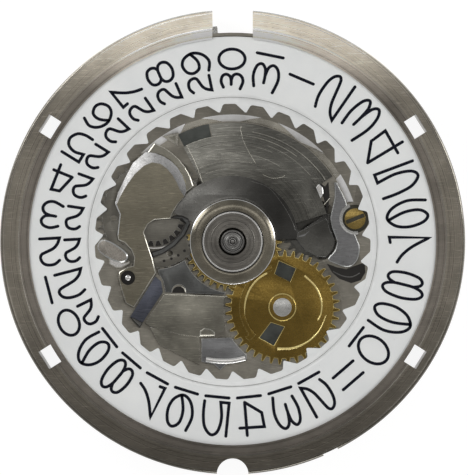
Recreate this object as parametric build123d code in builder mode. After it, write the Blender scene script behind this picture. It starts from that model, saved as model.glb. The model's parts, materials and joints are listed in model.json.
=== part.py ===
"""Automatic mechanical watch movement, dial side up, held in its casing ring.

Sizes are millimetres. The origin is on the hand axis, level with the rear rim of the casing
ring. +Z points to the dial side, +X to the winding stem (3 o'clock) and +Y to 12 o'clock.
"""

from build123d import *
import os
from math import asin, atan2, cos, degrees, hypot, pi, radians, sin, sqrt

# Main plate and the rings around it, each set off from the plate's edge
PLATE_R = 13.22
CASING_PLAY = 0.08
CASING_BAND = 1.40
LIP_LAP = 0.35
RING_INSET = 0.24
RIM_WALL = 0.86
CLAMP_INSET = 0.87
WEIGHT_INSET = 0.32
KEYLESS_WALL = 1.02
CASING_BORE_R = PLATE_R + CASING_PLAY
CASING_R = CASING_BORE_R + CASING_BAND
LIP_R = PLATE_R - LIP_LAP
RING_OUT_R = PLATE_R - RING_INSET
RIM_IN_R = PLATE_R - RIM_WALL
CLAMP_SCREW_R = PLATE_R - CLAMP_INSET

# Casing ring
DIAL_SEAT_Z = 5.96
LIP_DROP = 0.10
LIP_THICK = 0.08
RING_BEVEL = 0.30
SLOT_ANGLE = 32.2
SLOT_DEPTH = 0.90
SLOT_WIDTH = 1.29
GAP_WIDTH = 2.56
NOTCH_R = 1.00
FLAT_ANGLE = -65.0
FLAT_DEPTH = 0.16
STEM_WINDOW_R = 1.10

# Running clearances
PLAY = 0.03
FIT = 0.02

# Levels of the plates, from the rear up
ROTOR_Z = 0.25
WEIGHT_THICK = 1.20
ROTOR_PLATE_Z = 0.52
ROTOR_PLATE_THICK = 0.22
ROTOR_GEAR_Z = 0.80
ROTOR_GEAR_THICK = 0.20
AUTO_BRIDGE_Z = 1.08
AUTO_BRIDGE_THICK = 0.40
RATCHET_Z = 1.80
RATCHET_THICK = 0.24
REDUCTION_Z = 1.53
REDUCTION_THICK = 0.20
BRIDGE_Z = 2.10
BRIDGE_THICK = 0.80
TRAIN_TOP_Z = 4.40
LAND_Z = 5.28
TRACK_Z = 5.50
MOTION_FLOOR_Z = 4.74

# Calendar recesses: the fixed steel and the polished groove keep inside the date ring's tooth tips
CHANNEL_R = 10.20
TOOTH_TIP_R = 8.22
GROOVE_OUT_R = TOOTH_TIP_R - 0.19
GROOVE_IN_R = TOOTH_TIP_R - 0.60
CALENDAR_OUT_R = TOOTH_TIP_R - 0.67
GROOVE_DEPTH = 0.20
CENTRE_RECESS_R = 4.17

# Tooth form, in modules and in shares of the pitch
ADDENDUM = 0.90
DEDENDUM = 1.25
ROOT_HALF = 0.29
TIP_HALF = 0.11

# Going train: teeth and modules
BARREL_TEETH = 80
BARREL_MODULE = 0.14
GREAT_PINION_TEETH = 10
GREAT_TEETH = 75
GREAT_MODULE = 0.083
THIRD_PINION_TEETH = 10
THIRD_TEETH = 80
SECONDS_PINION_TEETH = 10
SECONDS_TEETH = 84
SECONDS_MODULE = 0.072
ESCAPE_PINION_TEETH = 7
ESCAPE_TEETH = 15
ESCAPE_R = 2.20

# Motion work and calendar: teeth and modules
CANNON_TEETH = 12
MINUTE_TEETH = 36
CANNON_MODULE = 0.15625
MINUTE_PINION_TEETH = 10
HOUR_TEETH = 40
SETTING_TEETH = 22
SETTING_LINE = -38.0
HOUR_SMALL_TEETH = 20
DATE_TEETH = 40
DATE_DISTANCE = 5.21
DATE_ANGLE = -52.8
INTERMEDIATE_TEETH = 40
INTERMEDIATE_ANGLE = 161.6
DATE_RING_TEETH = 31

# Winding: teeth and modules
RATCHET_TEETH = 52
CROWN_TEETH = 28
WINDING_MODULE = 0.20
WINDING_PINION_TEETH = 15
ROTOR_TEETH = 32
REVERSER_TEETH = 40
ROTOR_MODULE = 0.10
REVERSER_ANGLE = 120.0
REVERSER_PINION_TEETH = 8
REDUCTION_TEETH = 56
REDUCTION_MODULE = 0.12
REDUCTION_PINION_TEETH = 8

# Stem line
STEM_Z = 3.60
STEM_R = 0.60

# Barrel
BARREL_X = 3.20
BARREL_Y = 5.80
DRUM_R = 5.25
DRUM_WALL = 0.22
DRUM_Z = 3.18
DRUM_HEIGHT = 0.96
DRUM_FLOOR = 0.16
SPRING_THICK = 0.12
SPRING_TURNS = 7

# Balance
BALANCE_R = 4.00
BALANCE_RIM = 0.34
BALANCE_Z = 2.56
BALANCE_THICK = 0.30
ESCAPE_ANGLE = -50.0
PALLET_DISTANCE = 2.54
PALLET_LINE = -80.0
LEVER_LENGTH = 3.30
LEVER_LINE = -110.0
HAIRSPRING_THICK = 0.05
HAIRSPRING_PITCH = 0.22
HAIRSPRING_TURNS = 7

# Date ring
RING_TOP_Z = 5.74
RING_FLANGE = 0.22
RING_SLOPE_OUT_R = 9.36
RING_SLOPE_IN_R = 8.86
TOOTH_ROOT_R = 8.73
TOOTH_Z = 5.31
TOOTH_PHASE = 26.2
TOOTH_TIP_SPAN = 0.7
TOOTH_CW_SPAN = 1.6
TOOTH_CCW_SPAN = 4.2
TOOTH_ROOT_FILLET = 0.20

# Hands' seats
HOUR_SEAT_R = 0.75
MINUTE_SEAT_R = 0.42
MINUTE_PIPE_R = 0.58
SECONDS_SEAT_R = 0.125
TUBE_R = 0.25
HOUR_SEAT_FOOT = 5.70
HOUR_SEAT_TOP = 6.55
MINUTE_SEAT_TOP = 7.15
SECONDS_SEAT_TOP = 7.60

# Gear levels on the dial side
CANNON_Z = 4.80
CANNON_THICK = 0.15
HOUR_Z = 5.00
HOUR_THICK = 0.10
DATE_GEAR_Z = 5.13
DATE_GEAR_THICK = 0.12

# Flat steel parts on the dial side
STEEL_TOP_Z = 5.50
STEEL_THICK = 0.22
CALENDAR_STEP_R = 6.73

BRIDGE_TOP_Z = BRIDGE_Z + BRIDGE_THICK
DRUM_TOP_Z = DRUM_Z + DRUM_HEIGHT
LIP_Z = DIAL_SEAT_Z - LIP_DROP - LIP_THICK

# Casing clamps and screws
CLAMP_Z = 2.66
CLAMP_TOP_Z = BRIDGE_TOP_Z
CLAMP_WIDTH = 1.40
CLAMP_HOLD = 0.45
CLAMP_SHAFT_R = 0.22
CLAMP_HEAD_R = 0.48
SCREW_HEAD = 0.24
SCREW_BITE = 0.70
SCREW_SHAFT_R = 0.26
SCREW_HEAD_R = 0.50
COCK_HEAD = 0.14

# Main plate
RIM_Z = 1.62
WALL_PLAY = 0.16
ROLLER_ROOM_R = 1.20
LEVER_Z = 3.28
LEVER_THICK = 0.14
LEVER_TOP_Z = 3.70
KEYLESS_IN_X = 7.55
KEYLESS_OUT_X = PLATE_R - KEYLESS_WALL
KEYLESS_HALF = 1.78
KEYLESS_TOP_Z = 4.99
JEWEL_R = 0.55
JEWEL_THICK = 0.28
SHOCK_R = 0.95
SHOCK_THICK = 0.50
GREAT_ARBOR_R = 0.25
BARREL_PIVOT_R = 0.45
BARREL_PIVOT_TOP_Z = 4.56
POST_R = 0.28
POST_SINK = 0.25
GROOVE_START = 18.0
GROOVE_END = 152.0

# Bridges and their pivots
BRIDGE_R = RIM_IN_R - 0.06
CUT_REACH = PLATE_R + 0.28
PIVOT_R = 0.10
JEWEL_HOLE_R = PIVOT_R + FIT
JEWEL_FLOOR_Z = BRIDGE_TOP_Z - JEWEL_THICK
JEWEL_TOP_Z = TRAIN_TOP_Z + JEWEL_THICK
BALANCE_ROOM_R = 4.35
PALLET_BRIDGE_THICK = 0.28
COCK_Z = 1.62
COCK_THICK = 0.46
COCK_WIDTH = 2.40
COCK_FOOT = 2.40
AUTO_HUB_R = 1.30
AUTO_ARM_WIDTH = 1.70
AUTO_FOOT_R = 0.85
AUTO_SHAFT_R = 0.28
AUTO_PIVOT_R = 0.12

# Arbors
ARBOR_R = 0.20
BARREL_HUB_R = 1.00
BARREL_ARBOR_R = 0.70
RATCHET_SQUARE = 0.90
PINION_TOP_GAP = 0.05
WHEEL_THICK = 0.12
GREAT_Z = 2.98
GREAT_PINION_Z = 3.84
THIRD_PINION_Z = 2.95
THIRD_PINION_TOP_Z = 3.40
THIRD_Z = 3.50
SECONDS_PINION_Z = 3.44
SECONDS_PINION_TOP_Z = 3.80
SECONDS_Z = 4.22
ESCAPE_PINION_Z = 4.10
ROTOR_SWEEP = 178.0
BRIDGE_GAP = 0.16
KEYLESS_PAD = 1.62
KEYLESS_FLOOR_Z = 2.30
CLAMP_ROOM_R = 0.95
PALLET_BRIDGE_WIDTH = 1.60
PALLET_BRIDGE_LENGTH = 4.70
STUD_R = 0.22
HAIRSPRING_Z = 2.22
HAIRSPRING_HEIGHT = 0.24
RATCHET_HEAD_R = 0.95
RATCHET_HEAD = 0.24
SLOT_TURN = 35.0
SPOKE_IN_R = 0.75
SPOKE_WIDTH = 0.34
RIM_WIDTH = 0.34
ESCAPE_ARBOR_R = 0.14
ESCAPE_HUB_R = 0.45
ESCAPE_SPOKE = 0.24
ESCAPE_ROOT_R = 1.78
ESCAPE_SPOKE_R = 1.55
FORK_HUB_R = 0.40
FORK_WIDTH = 0.28
STONE_LENGTH = 0.62
STONE_WIDTH = 0.22
STONE_SPAN = 30.0
PIN_CIRCLE_R = 0.45
PIN_R = 0.06
STAFF_R = 0.22
ROLLER_R = 0.62
ROLLER_Z = 3.12
BALANCE_ARM = 0.36
COLLET_R = 0.42
LOCK_GAP = 0.10

# Automatic winding
ROTOR_SCREW_R = 0.30
ROTOR_HEAD_R = 0.60
AUTO_HEAD_R = 0.55
AUTO_HEAD = 0.22
REDUCTION_HUB_R = 1.15
REDUCTION_SPOKE_R = 2.85
CROWN_CORE_R = 0.80
CORE_Z = 1.74
CORE_HEAD_R = 1.05
CLICK_R = 0.50
CLICK_DISTANCE = 6.00
CLICK_ANGLE = 5.0
CLICK_CORE_R = 0.34
CLICK_HEAD_R = 0.50
CLICK_SKEW = -7.0
BLADE = 0.14
BALLS = 7
BALL_R = 0.13
BALL_RACE_R = 0.75
ROTOR_HUB_R = 1.45
WEIGHT_IN_R = 10.90
WEIGHT_OUT_R = PLATE_R - WEIGHT_INSET
WEIGHT_LAP = 0.50
ROTOR_WINDOW_IN = 3.00
ROTOR_WINDOW_OUT = 9.40

# Keyless works
WINDING_HALF = 0.34
SLIDING_X = 8.90
SLIDING_LENGTH = 1.85
SLIDING_R = 1.05
SLIDING_TOOTH_R = 1.27
SLIDING_TOOTH = 0.30
SLIDING_GROOVE = 0.22

# Dial-side steel parts, outlined as they lie in the plan
PLATE_CORNER = 0.10
STEP_TOP_Z = 5.44
GUARD_TOP_Z = 5.36
GUARD_IN_R = 2.88
GUARD_END = 154.0
THIN_TOP_Z = 5.40
CLEAR = 0.10
UPPER_LEFT = 117.5
UPPER_RIGHT = 16.5
UPPER_SHOULDER = 33.2
WINDOW_END = 101.0
SHOULDER_R = 6.20
LEVER_SCREW = (7.75, 1.45)
LEVER_SCREW_R = 0.66
LEVER_COLLAR_R = 1.00
LEVER_RECESS_R = 0.90
LEVER_HEAD = 0.16
LEVER_PIVOT = (7.30, -0.75)
STOP_PIN = (-6.62, -2.28)
STOP_HOLE_R = 0.46
PIN_HEAD_R = 0.20
CORRECTOR_PIVOT = (-7.05, -0.98)
JUMPER_PIVOT = (-0.60, -6.70)
PIVOT_PIN_R = 0.20
TAIL_TOP_Z = 5.30
JUMPER_ANGLE = -95.5
JUMPER_NOSE_R = TOOTH_TIP_R - 0.05
RING_TOOTH_TOP_Z = 5.56
DISC_R = 1.90
DISC_BORE_R = 0.86
DISC_Z = 5.54
DISC_TOP_Z = 5.66
DOME_R = 2.72
DOME_Z = 5.38
DOME_STEP = 0.06
HUB_R = 1.25
FINGER_IN_R = 2.42
FINGER_OUT_R = 2.72
FINGER_TOP_Z = 5.34
FINGER_REACH = 2.95
FINGER_WIDTH = 0.34
FINGER_START = 105.0
FINGER_END = 226.0
HUB_BEVEL_R = 0.85
POST_HEAD_R = 0.59
HOLE_BAND_R = 2.57
HOLE_BAND_HOLE_R = 0.20
INNER_TEETH = 24
INNER_MODULE = 0.15
INTERMEDIATE_RIM_R = 3.30


def polar(r, angle, centre=(0.0, 0.0)):
    """The point at radius r and angle (degrees) from a centre."""
    return (centre[0] + r * cos(radians(angle)), centre[1] + r * sin(radians(angle)))


def distance(a, b):
    return hypot(b[0] - a[0], b[1] - a[1])


def heading(a, b):
    """The direction from a to b, in degrees."""
    return degrees(atan2(b[1] - a[1], b[0] - a[0]))


def crossing(a, ra, b, rb, side):
    """Where circles of radius ra about a and rb about b cross; side is +1 left of a to b, -1 right."""
    d = distance(a, b)
    along = (ra**2 - rb**2 + d**2) / (2 * d)
    across = side * sqrt(ra**2 - along**2)
    turn = heading(a, b)
    foot = polar(along, turn, a)
    return polar(across, turn + 90, foot)


def pitch_r(teeth, module):
    return teeth * module / 2


def tip_r(teeth, module):
    return pitch_r(teeth, module) + ADDENDUM * module


def meshed_turn(turn, teeth, centre, other_teeth, other_centre):
    """The turn that puts another gear's teeth into the gaps of a gear that stands at turn."""
    line = heading(centre, other_centre)
    share = ((line - turn) * teeth / 360) % 1
    return line + 180 - (0.5 - share) * 360 / other_teeth


def level(z, at=(0.0, 0.0), turn=0.0):
    """A level work plane at a point, turned about Z."""
    return Plane(origin=(at[0], at[1], z), x_dir=(*polar(1, turn), 0), z_dir=(0, 0, 1))


def tooth_points(teeth, module):
    """The corners of a toothed outline, with one tooth centred on its own X axis."""
    pitch = 360 / teeth
    root, tip = pitch_r(teeth, module) - DEDENDUM * module, tip_r(teeth, module)
    corners = [(root, -ROOT_HALF), (tip, -TIP_HALF), (tip, TIP_HALF), (root, ROOT_HALF)]
    return [polar(r, (n + share) * pitch) for n in range(teeth) for r, share in corners]


def add_gear(at, z, thick, teeth, module, turn=0.0, mode=Mode.ADD):
    with BuildSketch(level(z, at, turn)) as drawn:
        with BuildLine():
            Polyline(*tooth_points(teeth, module), close=True)
        make_face()
    extrude(drawn.sketch, amount=thick, mode=mode)


def add_disc(at, r, z, top, mode=Mode.ADD):
    with BuildSketch(level(z, at)) as drawn:
        Circle(r)
    extrude(drawn.sketch, amount=top - z, mode=mode)


def add_box(at, size_x, size_y, z, top, turn=0.0, mode=Mode.ADD):
    with BuildSketch(level(z, at, turn)) as drawn:
        Rectangle(size_x, size_y)
    extrude(drawn.sketch, amount=top - z, mode=mode)


def add_outline(points, z, top, mode=Mode.ADD):
    with BuildSketch(level(z)) as drawn:
        with BuildLine():
            Polyline(*points, close=True)
        make_face()
    extrude(drawn.sketch, amount=top - z, mode=mode)


def add_sector(at, r_in, r_out, start, end, z, top, mode=Mode.ADD):
    """Adds the part of a ring between two angles."""
    with BuildSketch(level(z, at)) as drawn:
        with BuildLine():
            outer = CenterArc((0, 0), r_out, start, end - start)
            inner = CenterArc((0, 0), r_in, start, end - start)
            Line(outer @ 0, inner @ 0)
            Line(outer @ 1, inner @ 1)
        make_face()
    extrude(drawn.sketch, amount=top - z, mode=mode)


def cut_spokes(at, z, top, r_in, r_out, spokes, spoke_width, turn=0.0):
    """Opens the windows between a wheel's spokes."""
    share = 360 / spokes
    half = degrees(asin(spoke_width / 2 / r_in))
    for n in range(spokes):
        start = turn + n * share
        add_sector(at, r_in, r_out, start + half, start + share - half, z, top, Mode.SUBTRACT)


def add_tube(at, r_in, r_out, z, top, mode=Mode.ADD):
    with BuildSketch(level(z, at)) as drawn:
        Circle(r_out)
        Circle(r_in, mode=Mode.SUBTRACT)
    extrude(drawn.sketch, amount=top - z, mode=mode)


def add_screw(at, head_r, shaft_r, face_z, head_height, tip_z, slot_turn):
    """A slotted screw: its head stands head_height off face_z, away from the tip of its shaft."""
    outward = -1 if tip_z > face_z else 1
    head_z, head_top = sorted((face_z, face_z + outward * head_height))
    add_disc(at, head_r, head_z, head_top)
    shaft_z, shaft_top = sorted((face_z, tip_z))
    add_disc(at, shaft_r, shaft_z, shaft_top)
    slot_floor = face_z + outward * head_height / 2
    slot_z, slot_top = sorted((slot_floor, face_z + outward * 2 * head_height))
    add_box(at, 3 * head_r, head_r / 3, slot_z, slot_top, slot_turn, Mode.SUBTRACT)


def spiral(at, z, height, start_r, pitch, half_turns, thick, turn=0.0):
    """A flat spring as half turns whose radius grows by half a pitch each time."""
    with BuildSketch(level(z, at, turn)) as drawn:
        for n in range(half_turns):
            r = start_r + n * pitch / 2
            centre_x = (n % 2) * pitch / 2
            with BuildLine():
                outer = CenterArc((centre_x, 0), r + thick, 180 * (n % 2), 180)
                inner = CenterArc((centre_x, 0), r, 180 * (n % 2), 180)
                Line(outer @ 0, inner @ 0)
                Line(outer @ 1, inner @ 1)
            make_face()
    extrude(drawn.sketch, amount=height)


def escape_points():
    """The escape wheel's outline: pointed teeth that lean the way it turns."""
    pitch = 360 / ESCAPE_TEETH
    corners = [
        (ESCAPE_ROOT_R, 0.0), (ESCAPE_ROOT_R, 0.5), (ESCAPE_R, 0.78), (ESCAPE_R, 0.9), (ESCAPE_ROOT_R, 0.92)
    ]
    return [polar(r, (n + share) * pitch) for n in range(ESCAPE_TEETH) for r, share in corners]


def ring_tooth_points():
    """The opening inside the date ring's teeth; each tooth comes to a point."""
    pitch = 360 / DATE_RING_TEETH
    half = TOOTH_TIP_SPAN / 2
    corners = [
        (TOOTH_TIP_R, -half),
        (TOOTH_TIP_R, half),
        (TOOTH_ROOT_R, half + TOOTH_CCW_SPAN),
        (TOOTH_ROOT_R, pitch - half - TOOTH_CW_SPAN),
    ]
    return [polar(r, TOOTH_PHASE + n * pitch + a) for n in range(DATE_RING_TEETH) for r, a in corners]


def keep(piece, name):
    piece.part.label = name
    export_step(piece.part, f"parts/{name}.step")


os.makedirs("parts", exist_ok=True)

# Places of the arbors
CENTRE = (0.0, 0.0)
BARREL = (BARREL_X, BARREL_Y)
GREAT = polar(pitch_r(BARREL_TEETH + GREAT_PINION_TEETH, BARREL_MODULE), 210, BARREL)
THIRD_DISTANCE = pitch_r(GREAT_TEETH + THIRD_PINION_TEETH, GREAT_MODULE)
THIRD_MODULE = 2 * THIRD_DISTANCE / (THIRD_TEETH + SECONDS_PINION_TEETH)
THIRD = crossing(CENTRE, THIRD_DISTANCE, GREAT, THIRD_DISTANCE, 1)
ESCAPE_DISTANCE = pitch_r(SECONDS_TEETH + ESCAPE_PINION_TEETH, SECONDS_MODULE)
ESCAPE = polar(ESCAPE_DISTANCE, ESCAPE_ANGLE)
PALLET = polar(PALLET_DISTANCE, PALLET_LINE, ESCAPE)
BALANCE = polar(LEVER_LENGTH, LEVER_LINE, PALLET)
MINUTE_DISTANCE = pitch_r(CANNON_TEETH + MINUTE_TEETH, CANNON_MODULE)
MINUTE = crossing(CENTRE, MINUTE_DISTANCE, GREAT, MINUTE_DISTANCE, -1)
HOUR_MODULE = 2 * MINUTE_DISTANCE / (MINUTE_PINION_TEETH + HOUR_TEETH)
SETTING_DISTANCE = pitch_r(MINUTE_TEETH + SETTING_TEETH, CANNON_MODULE)
SETTING = polar(SETTING_DISTANCE, SETTING_LINE, MINUTE)
DATE_MODULE = 2 * DATE_DISTANCE / (HOUR_SMALL_TEETH + DATE_TEETH)
DATE = polar(DATE_DISTANCE, DATE_ANGLE)
INTERMEDIATE = polar(DATE_DISTANCE, INTERMEDIATE_ANGLE)
CROWN_DISTANCE = pitch_r(RATCHET_TEETH + CROWN_TEETH, WINDING_MODULE)
CROWN = (BARREL_X + sqrt(CROWN_DISTANCE**2 - BARREL_Y**2), 0.0)
REVERSER = polar(pitch_r(ROTOR_TEETH + REVERSER_TEETH, ROTOR_MODULE), REVERSER_ANGLE)
REDUCTION_DISTANCE = pitch_r(REVERSER_PINION_TEETH + REDUCTION_TEETH, REDUCTION_MODULE)
RATCHET_DISTANCE = pitch_r(RATCHET_TEETH + REDUCTION_PINION_TEETH, WINDING_MODULE)
REDUCTION = crossing(REVERSER, REDUCTION_DISTANCE, BARREL, RATCHET_DISTANCE, 1)

# Turns that set the teeth of each pair into mesh
GREAT_PINION_TURN = meshed_turn(0, BARREL_TEETH, BARREL, GREAT_PINION_TEETH, GREAT)
THIRD_PINION_TURN = meshed_turn(0, GREAT_TEETH, GREAT, THIRD_PINION_TEETH, THIRD)
SECONDS_PINION_TURN = meshed_turn(0, THIRD_TEETH, THIRD, SECONDS_PINION_TEETH, CENTRE)
ESCAPE_PINION_TURN = meshed_turn(0, SECONDS_TEETH, CENTRE, ESCAPE_PINION_TEETH, ESCAPE)
DRIVING_TURN = meshed_turn(0, MINUTE_TEETH, MINUTE, CANNON_TEETH, GREAT)
CANNON_TURN = meshed_turn(0, MINUTE_TEETH, MINUTE, CANNON_TEETH, CENTRE)
SETTING_TURN = meshed_turn(0, MINUTE_TEETH, MINUTE, SETTING_TEETH, SETTING)
HOUR_TURN = meshed_turn(0, MINUTE_PINION_TEETH, MINUTE, HOUR_TEETH, CENTRE)
DATE_TURN = meshed_turn(0, HOUR_SMALL_TEETH, CENTRE, DATE_TEETH, DATE)
INTERMEDIATE_TURN = meshed_turn(0, HOUR_SMALL_TEETH, CENTRE, INTERMEDIATE_TEETH, INTERMEDIATE)
CROWN_TURN = meshed_turn(0, RATCHET_TEETH, BARREL, CROWN_TEETH, CROWN)
REDUCTION_PINION_TURN = meshed_turn(0, RATCHET_TEETH, BARREL, REDUCTION_PINION_TEETH, REDUCTION)
REVERSER_PINION_TURN = meshed_turn(0, REDUCTION_TEETH, REDUCTION, REVERSER_PINION_TEETH, REVERSER)
ROTOR_TURN = meshed_turn(0, REVERSER_TEETH, REVERSER, ROTOR_TEETH, CENTRE)

# Pallet stones stand just off the escape wheel, either side of the line to the pallet arbor
STONES = [
    polar(ESCAPE_R + LOCK_GAP, heading(ESCAPE, PALLET) + side * STONE_SPAN, ESCAPE) for side in (-1, 1)
]
STONE_REACH = max(distance(PALLET, polar(STONE_LENGTH, heading(ESCAPE, stone), stone)) for stone in STONES)
PALLET_ROOM_R = STONE_REACH + STONE_WIDTH / 2 + WALL_PLAY
CLICK = polar(CLICK_DISTANCE, CLICK_ANGLE, BARREL)
WINDING_X = CROWN[0] + tip_r(CROWN_TEETH, WINDING_MODULE)
CROWN_GAP = (0.5 + CROWN_TURN * CROWN_TEETH / 360) % 1
WINDING_TURN = degrees(CROWN_GAP * pi * WINDING_MODULE / pitch_r(WINDING_PINION_TEETH, WINDING_MODULE))
COCK_SCREW = polar(BRIDGE_R - 1.73, -34.6)
COCK_LINE = heading(BALANCE, COCK_SCREW)
COCK_LENGTH = distance(BALANCE, COCK_SCREW)
HAIRSPRING_END_R = COLLET_R - HAIRSPRING_THICK / 2 + HAIRSPRING_TURNS * HAIRSPRING_PITCH + HAIRSPRING_THICK
STUD = polar(HAIRSPRING_END_R + STUD_R, COCK_LINE, BALANCE)

# Places of the screws and feet
BARREL_BRIDGE_SCREWS = [
    polar(BRIDGE_R - inset, angle) for inset, angle in ((1.0, 20), (1.0, 125), (0.6, -12.5))
]
TRAIN_BRIDGE_SCREWS = [
    polar(BRIDGE_R - inset, angle) for inset, angle in ((1.4, 172), (2.4, 229), (4.5, -32.5))
]
AUTO_FEET = [polar(8.2, 158), polar(4.5, -109), polar(4.7, -20)]
CLAMP_ANGLES = [97.0, 180.0, -60.0]

# Casing ring: a flanged hoop with an inner lip over the edge of the date ring
with BuildPart() as casing_ring:
    with BuildSketch(Plane.YZ):
        with BuildLine():
            Polyline(
                (CASING_BORE_R, 0),
                (CASING_R - RING_BEVEL, 0),
                (CASING_R, RING_BEVEL),
                (CASING_R, DIAL_SEAT_Z - RING_BEVEL / 2),
                (CASING_R - RING_BEVEL / 2, DIAL_SEAT_Z),
                (CASING_BORE_R, DIAL_SEAT_Z),
                (LIP_R, DIAL_SEAT_Z - LIP_DROP),
                (LIP_R, LIP_Z),
                (CASING_BORE_R, LIP_Z),
                close=True,
            )
        make_face()
    revolve(axis=Axis.Z)
    add_box((0, CASING_R), GAP_WIDTH, 2 * (CASING_R - LIP_R) + FLAT_DEPTH, 0, DIAL_SEAT_Z, 0, Mode.SUBTRACT)
    add_disc((0, -CASING_R), NOTCH_R, 0, DIAL_SEAT_Z, Mode.SUBTRACT)
    for angle in (SLOT_ANGLE, -SLOT_ANGLE, 180 - SLOT_ANGLE, SLOT_ANGLE - 180):
        slot = polar(CASING_BORE_R + SLOT_DEPTH / 2 - CLEAR, angle)
        add_box(slot, SLOT_DEPTH, SLOT_WIDTH, 0, DIAL_SEAT_Z, angle, Mode.SUBTRACT)
    step = polar(CASING_R, FLAT_ANGLE)
    add_box(step, 2 * FLAT_DEPTH, NOTCH_R, 0, DIAL_SEAT_Z, FLAT_ANGLE, Mode.SUBTRACT)
    for angle in CLAMP_ANGLES:
        seat = polar(CASING_BORE_R, angle)
        add_box(
            seat, 2 * CLAMP_HOLD, CLAMP_WIDTH + 2 * PLAY, CLAMP_Z - PLAY, CLAMP_TOP_Z + PLAY, angle,
            Mode.SUBTRACT,
        )
    with Locations(Plane(origin=(CASING_R, 0, STEM_Z), x_dir=(0, 1, 0), z_dir=(1, 0, 0))):
        Cylinder(STEM_WINDOW_R, 2 * (CASING_R - LIP_R), mode=Mode.SUBTRACT)
keep(casing_ring, "casing_ring")

# Casing clamps: tabs screwed under the main plate that reach into slots of the ring
with BuildPart() as casing_clamps:
    for angle in CLAMP_ANGLES:
        middle = polar(CLAMP_SCREW_R, angle)
        add_disc(middle, CLAMP_WIDTH / 2, CLAMP_Z, CLAMP_TOP_Z)
        length = CASING_BORE_R + CLAMP_HOLD - PLAY - CLAMP_SCREW_R
        tab = polar(CLAMP_SCREW_R + length / 2, angle)
        add_box(tab, length, CLAMP_WIDTH, CLAMP_Z, CLAMP_TOP_Z, angle)
        add_disc(middle, CLAMP_SHAFT_R, CLAMP_Z, CLAMP_TOP_Z, Mode.SUBTRACT)
keep(casing_clamps, "casing_clamps")

with BuildPart() as clamp_screws:
    for angle in CLAMP_ANGLES:
        middle = polar(CLAMP_SCREW_R, angle)
        add_screw(middle, CLAMP_HEAD_R, CLAMP_SHAFT_R, CLAMP_Z, SCREW_HEAD, CLAMP_TOP_Z + SCREW_BITE, angle)
keep(clamp_screws, "clamp_screws")

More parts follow.
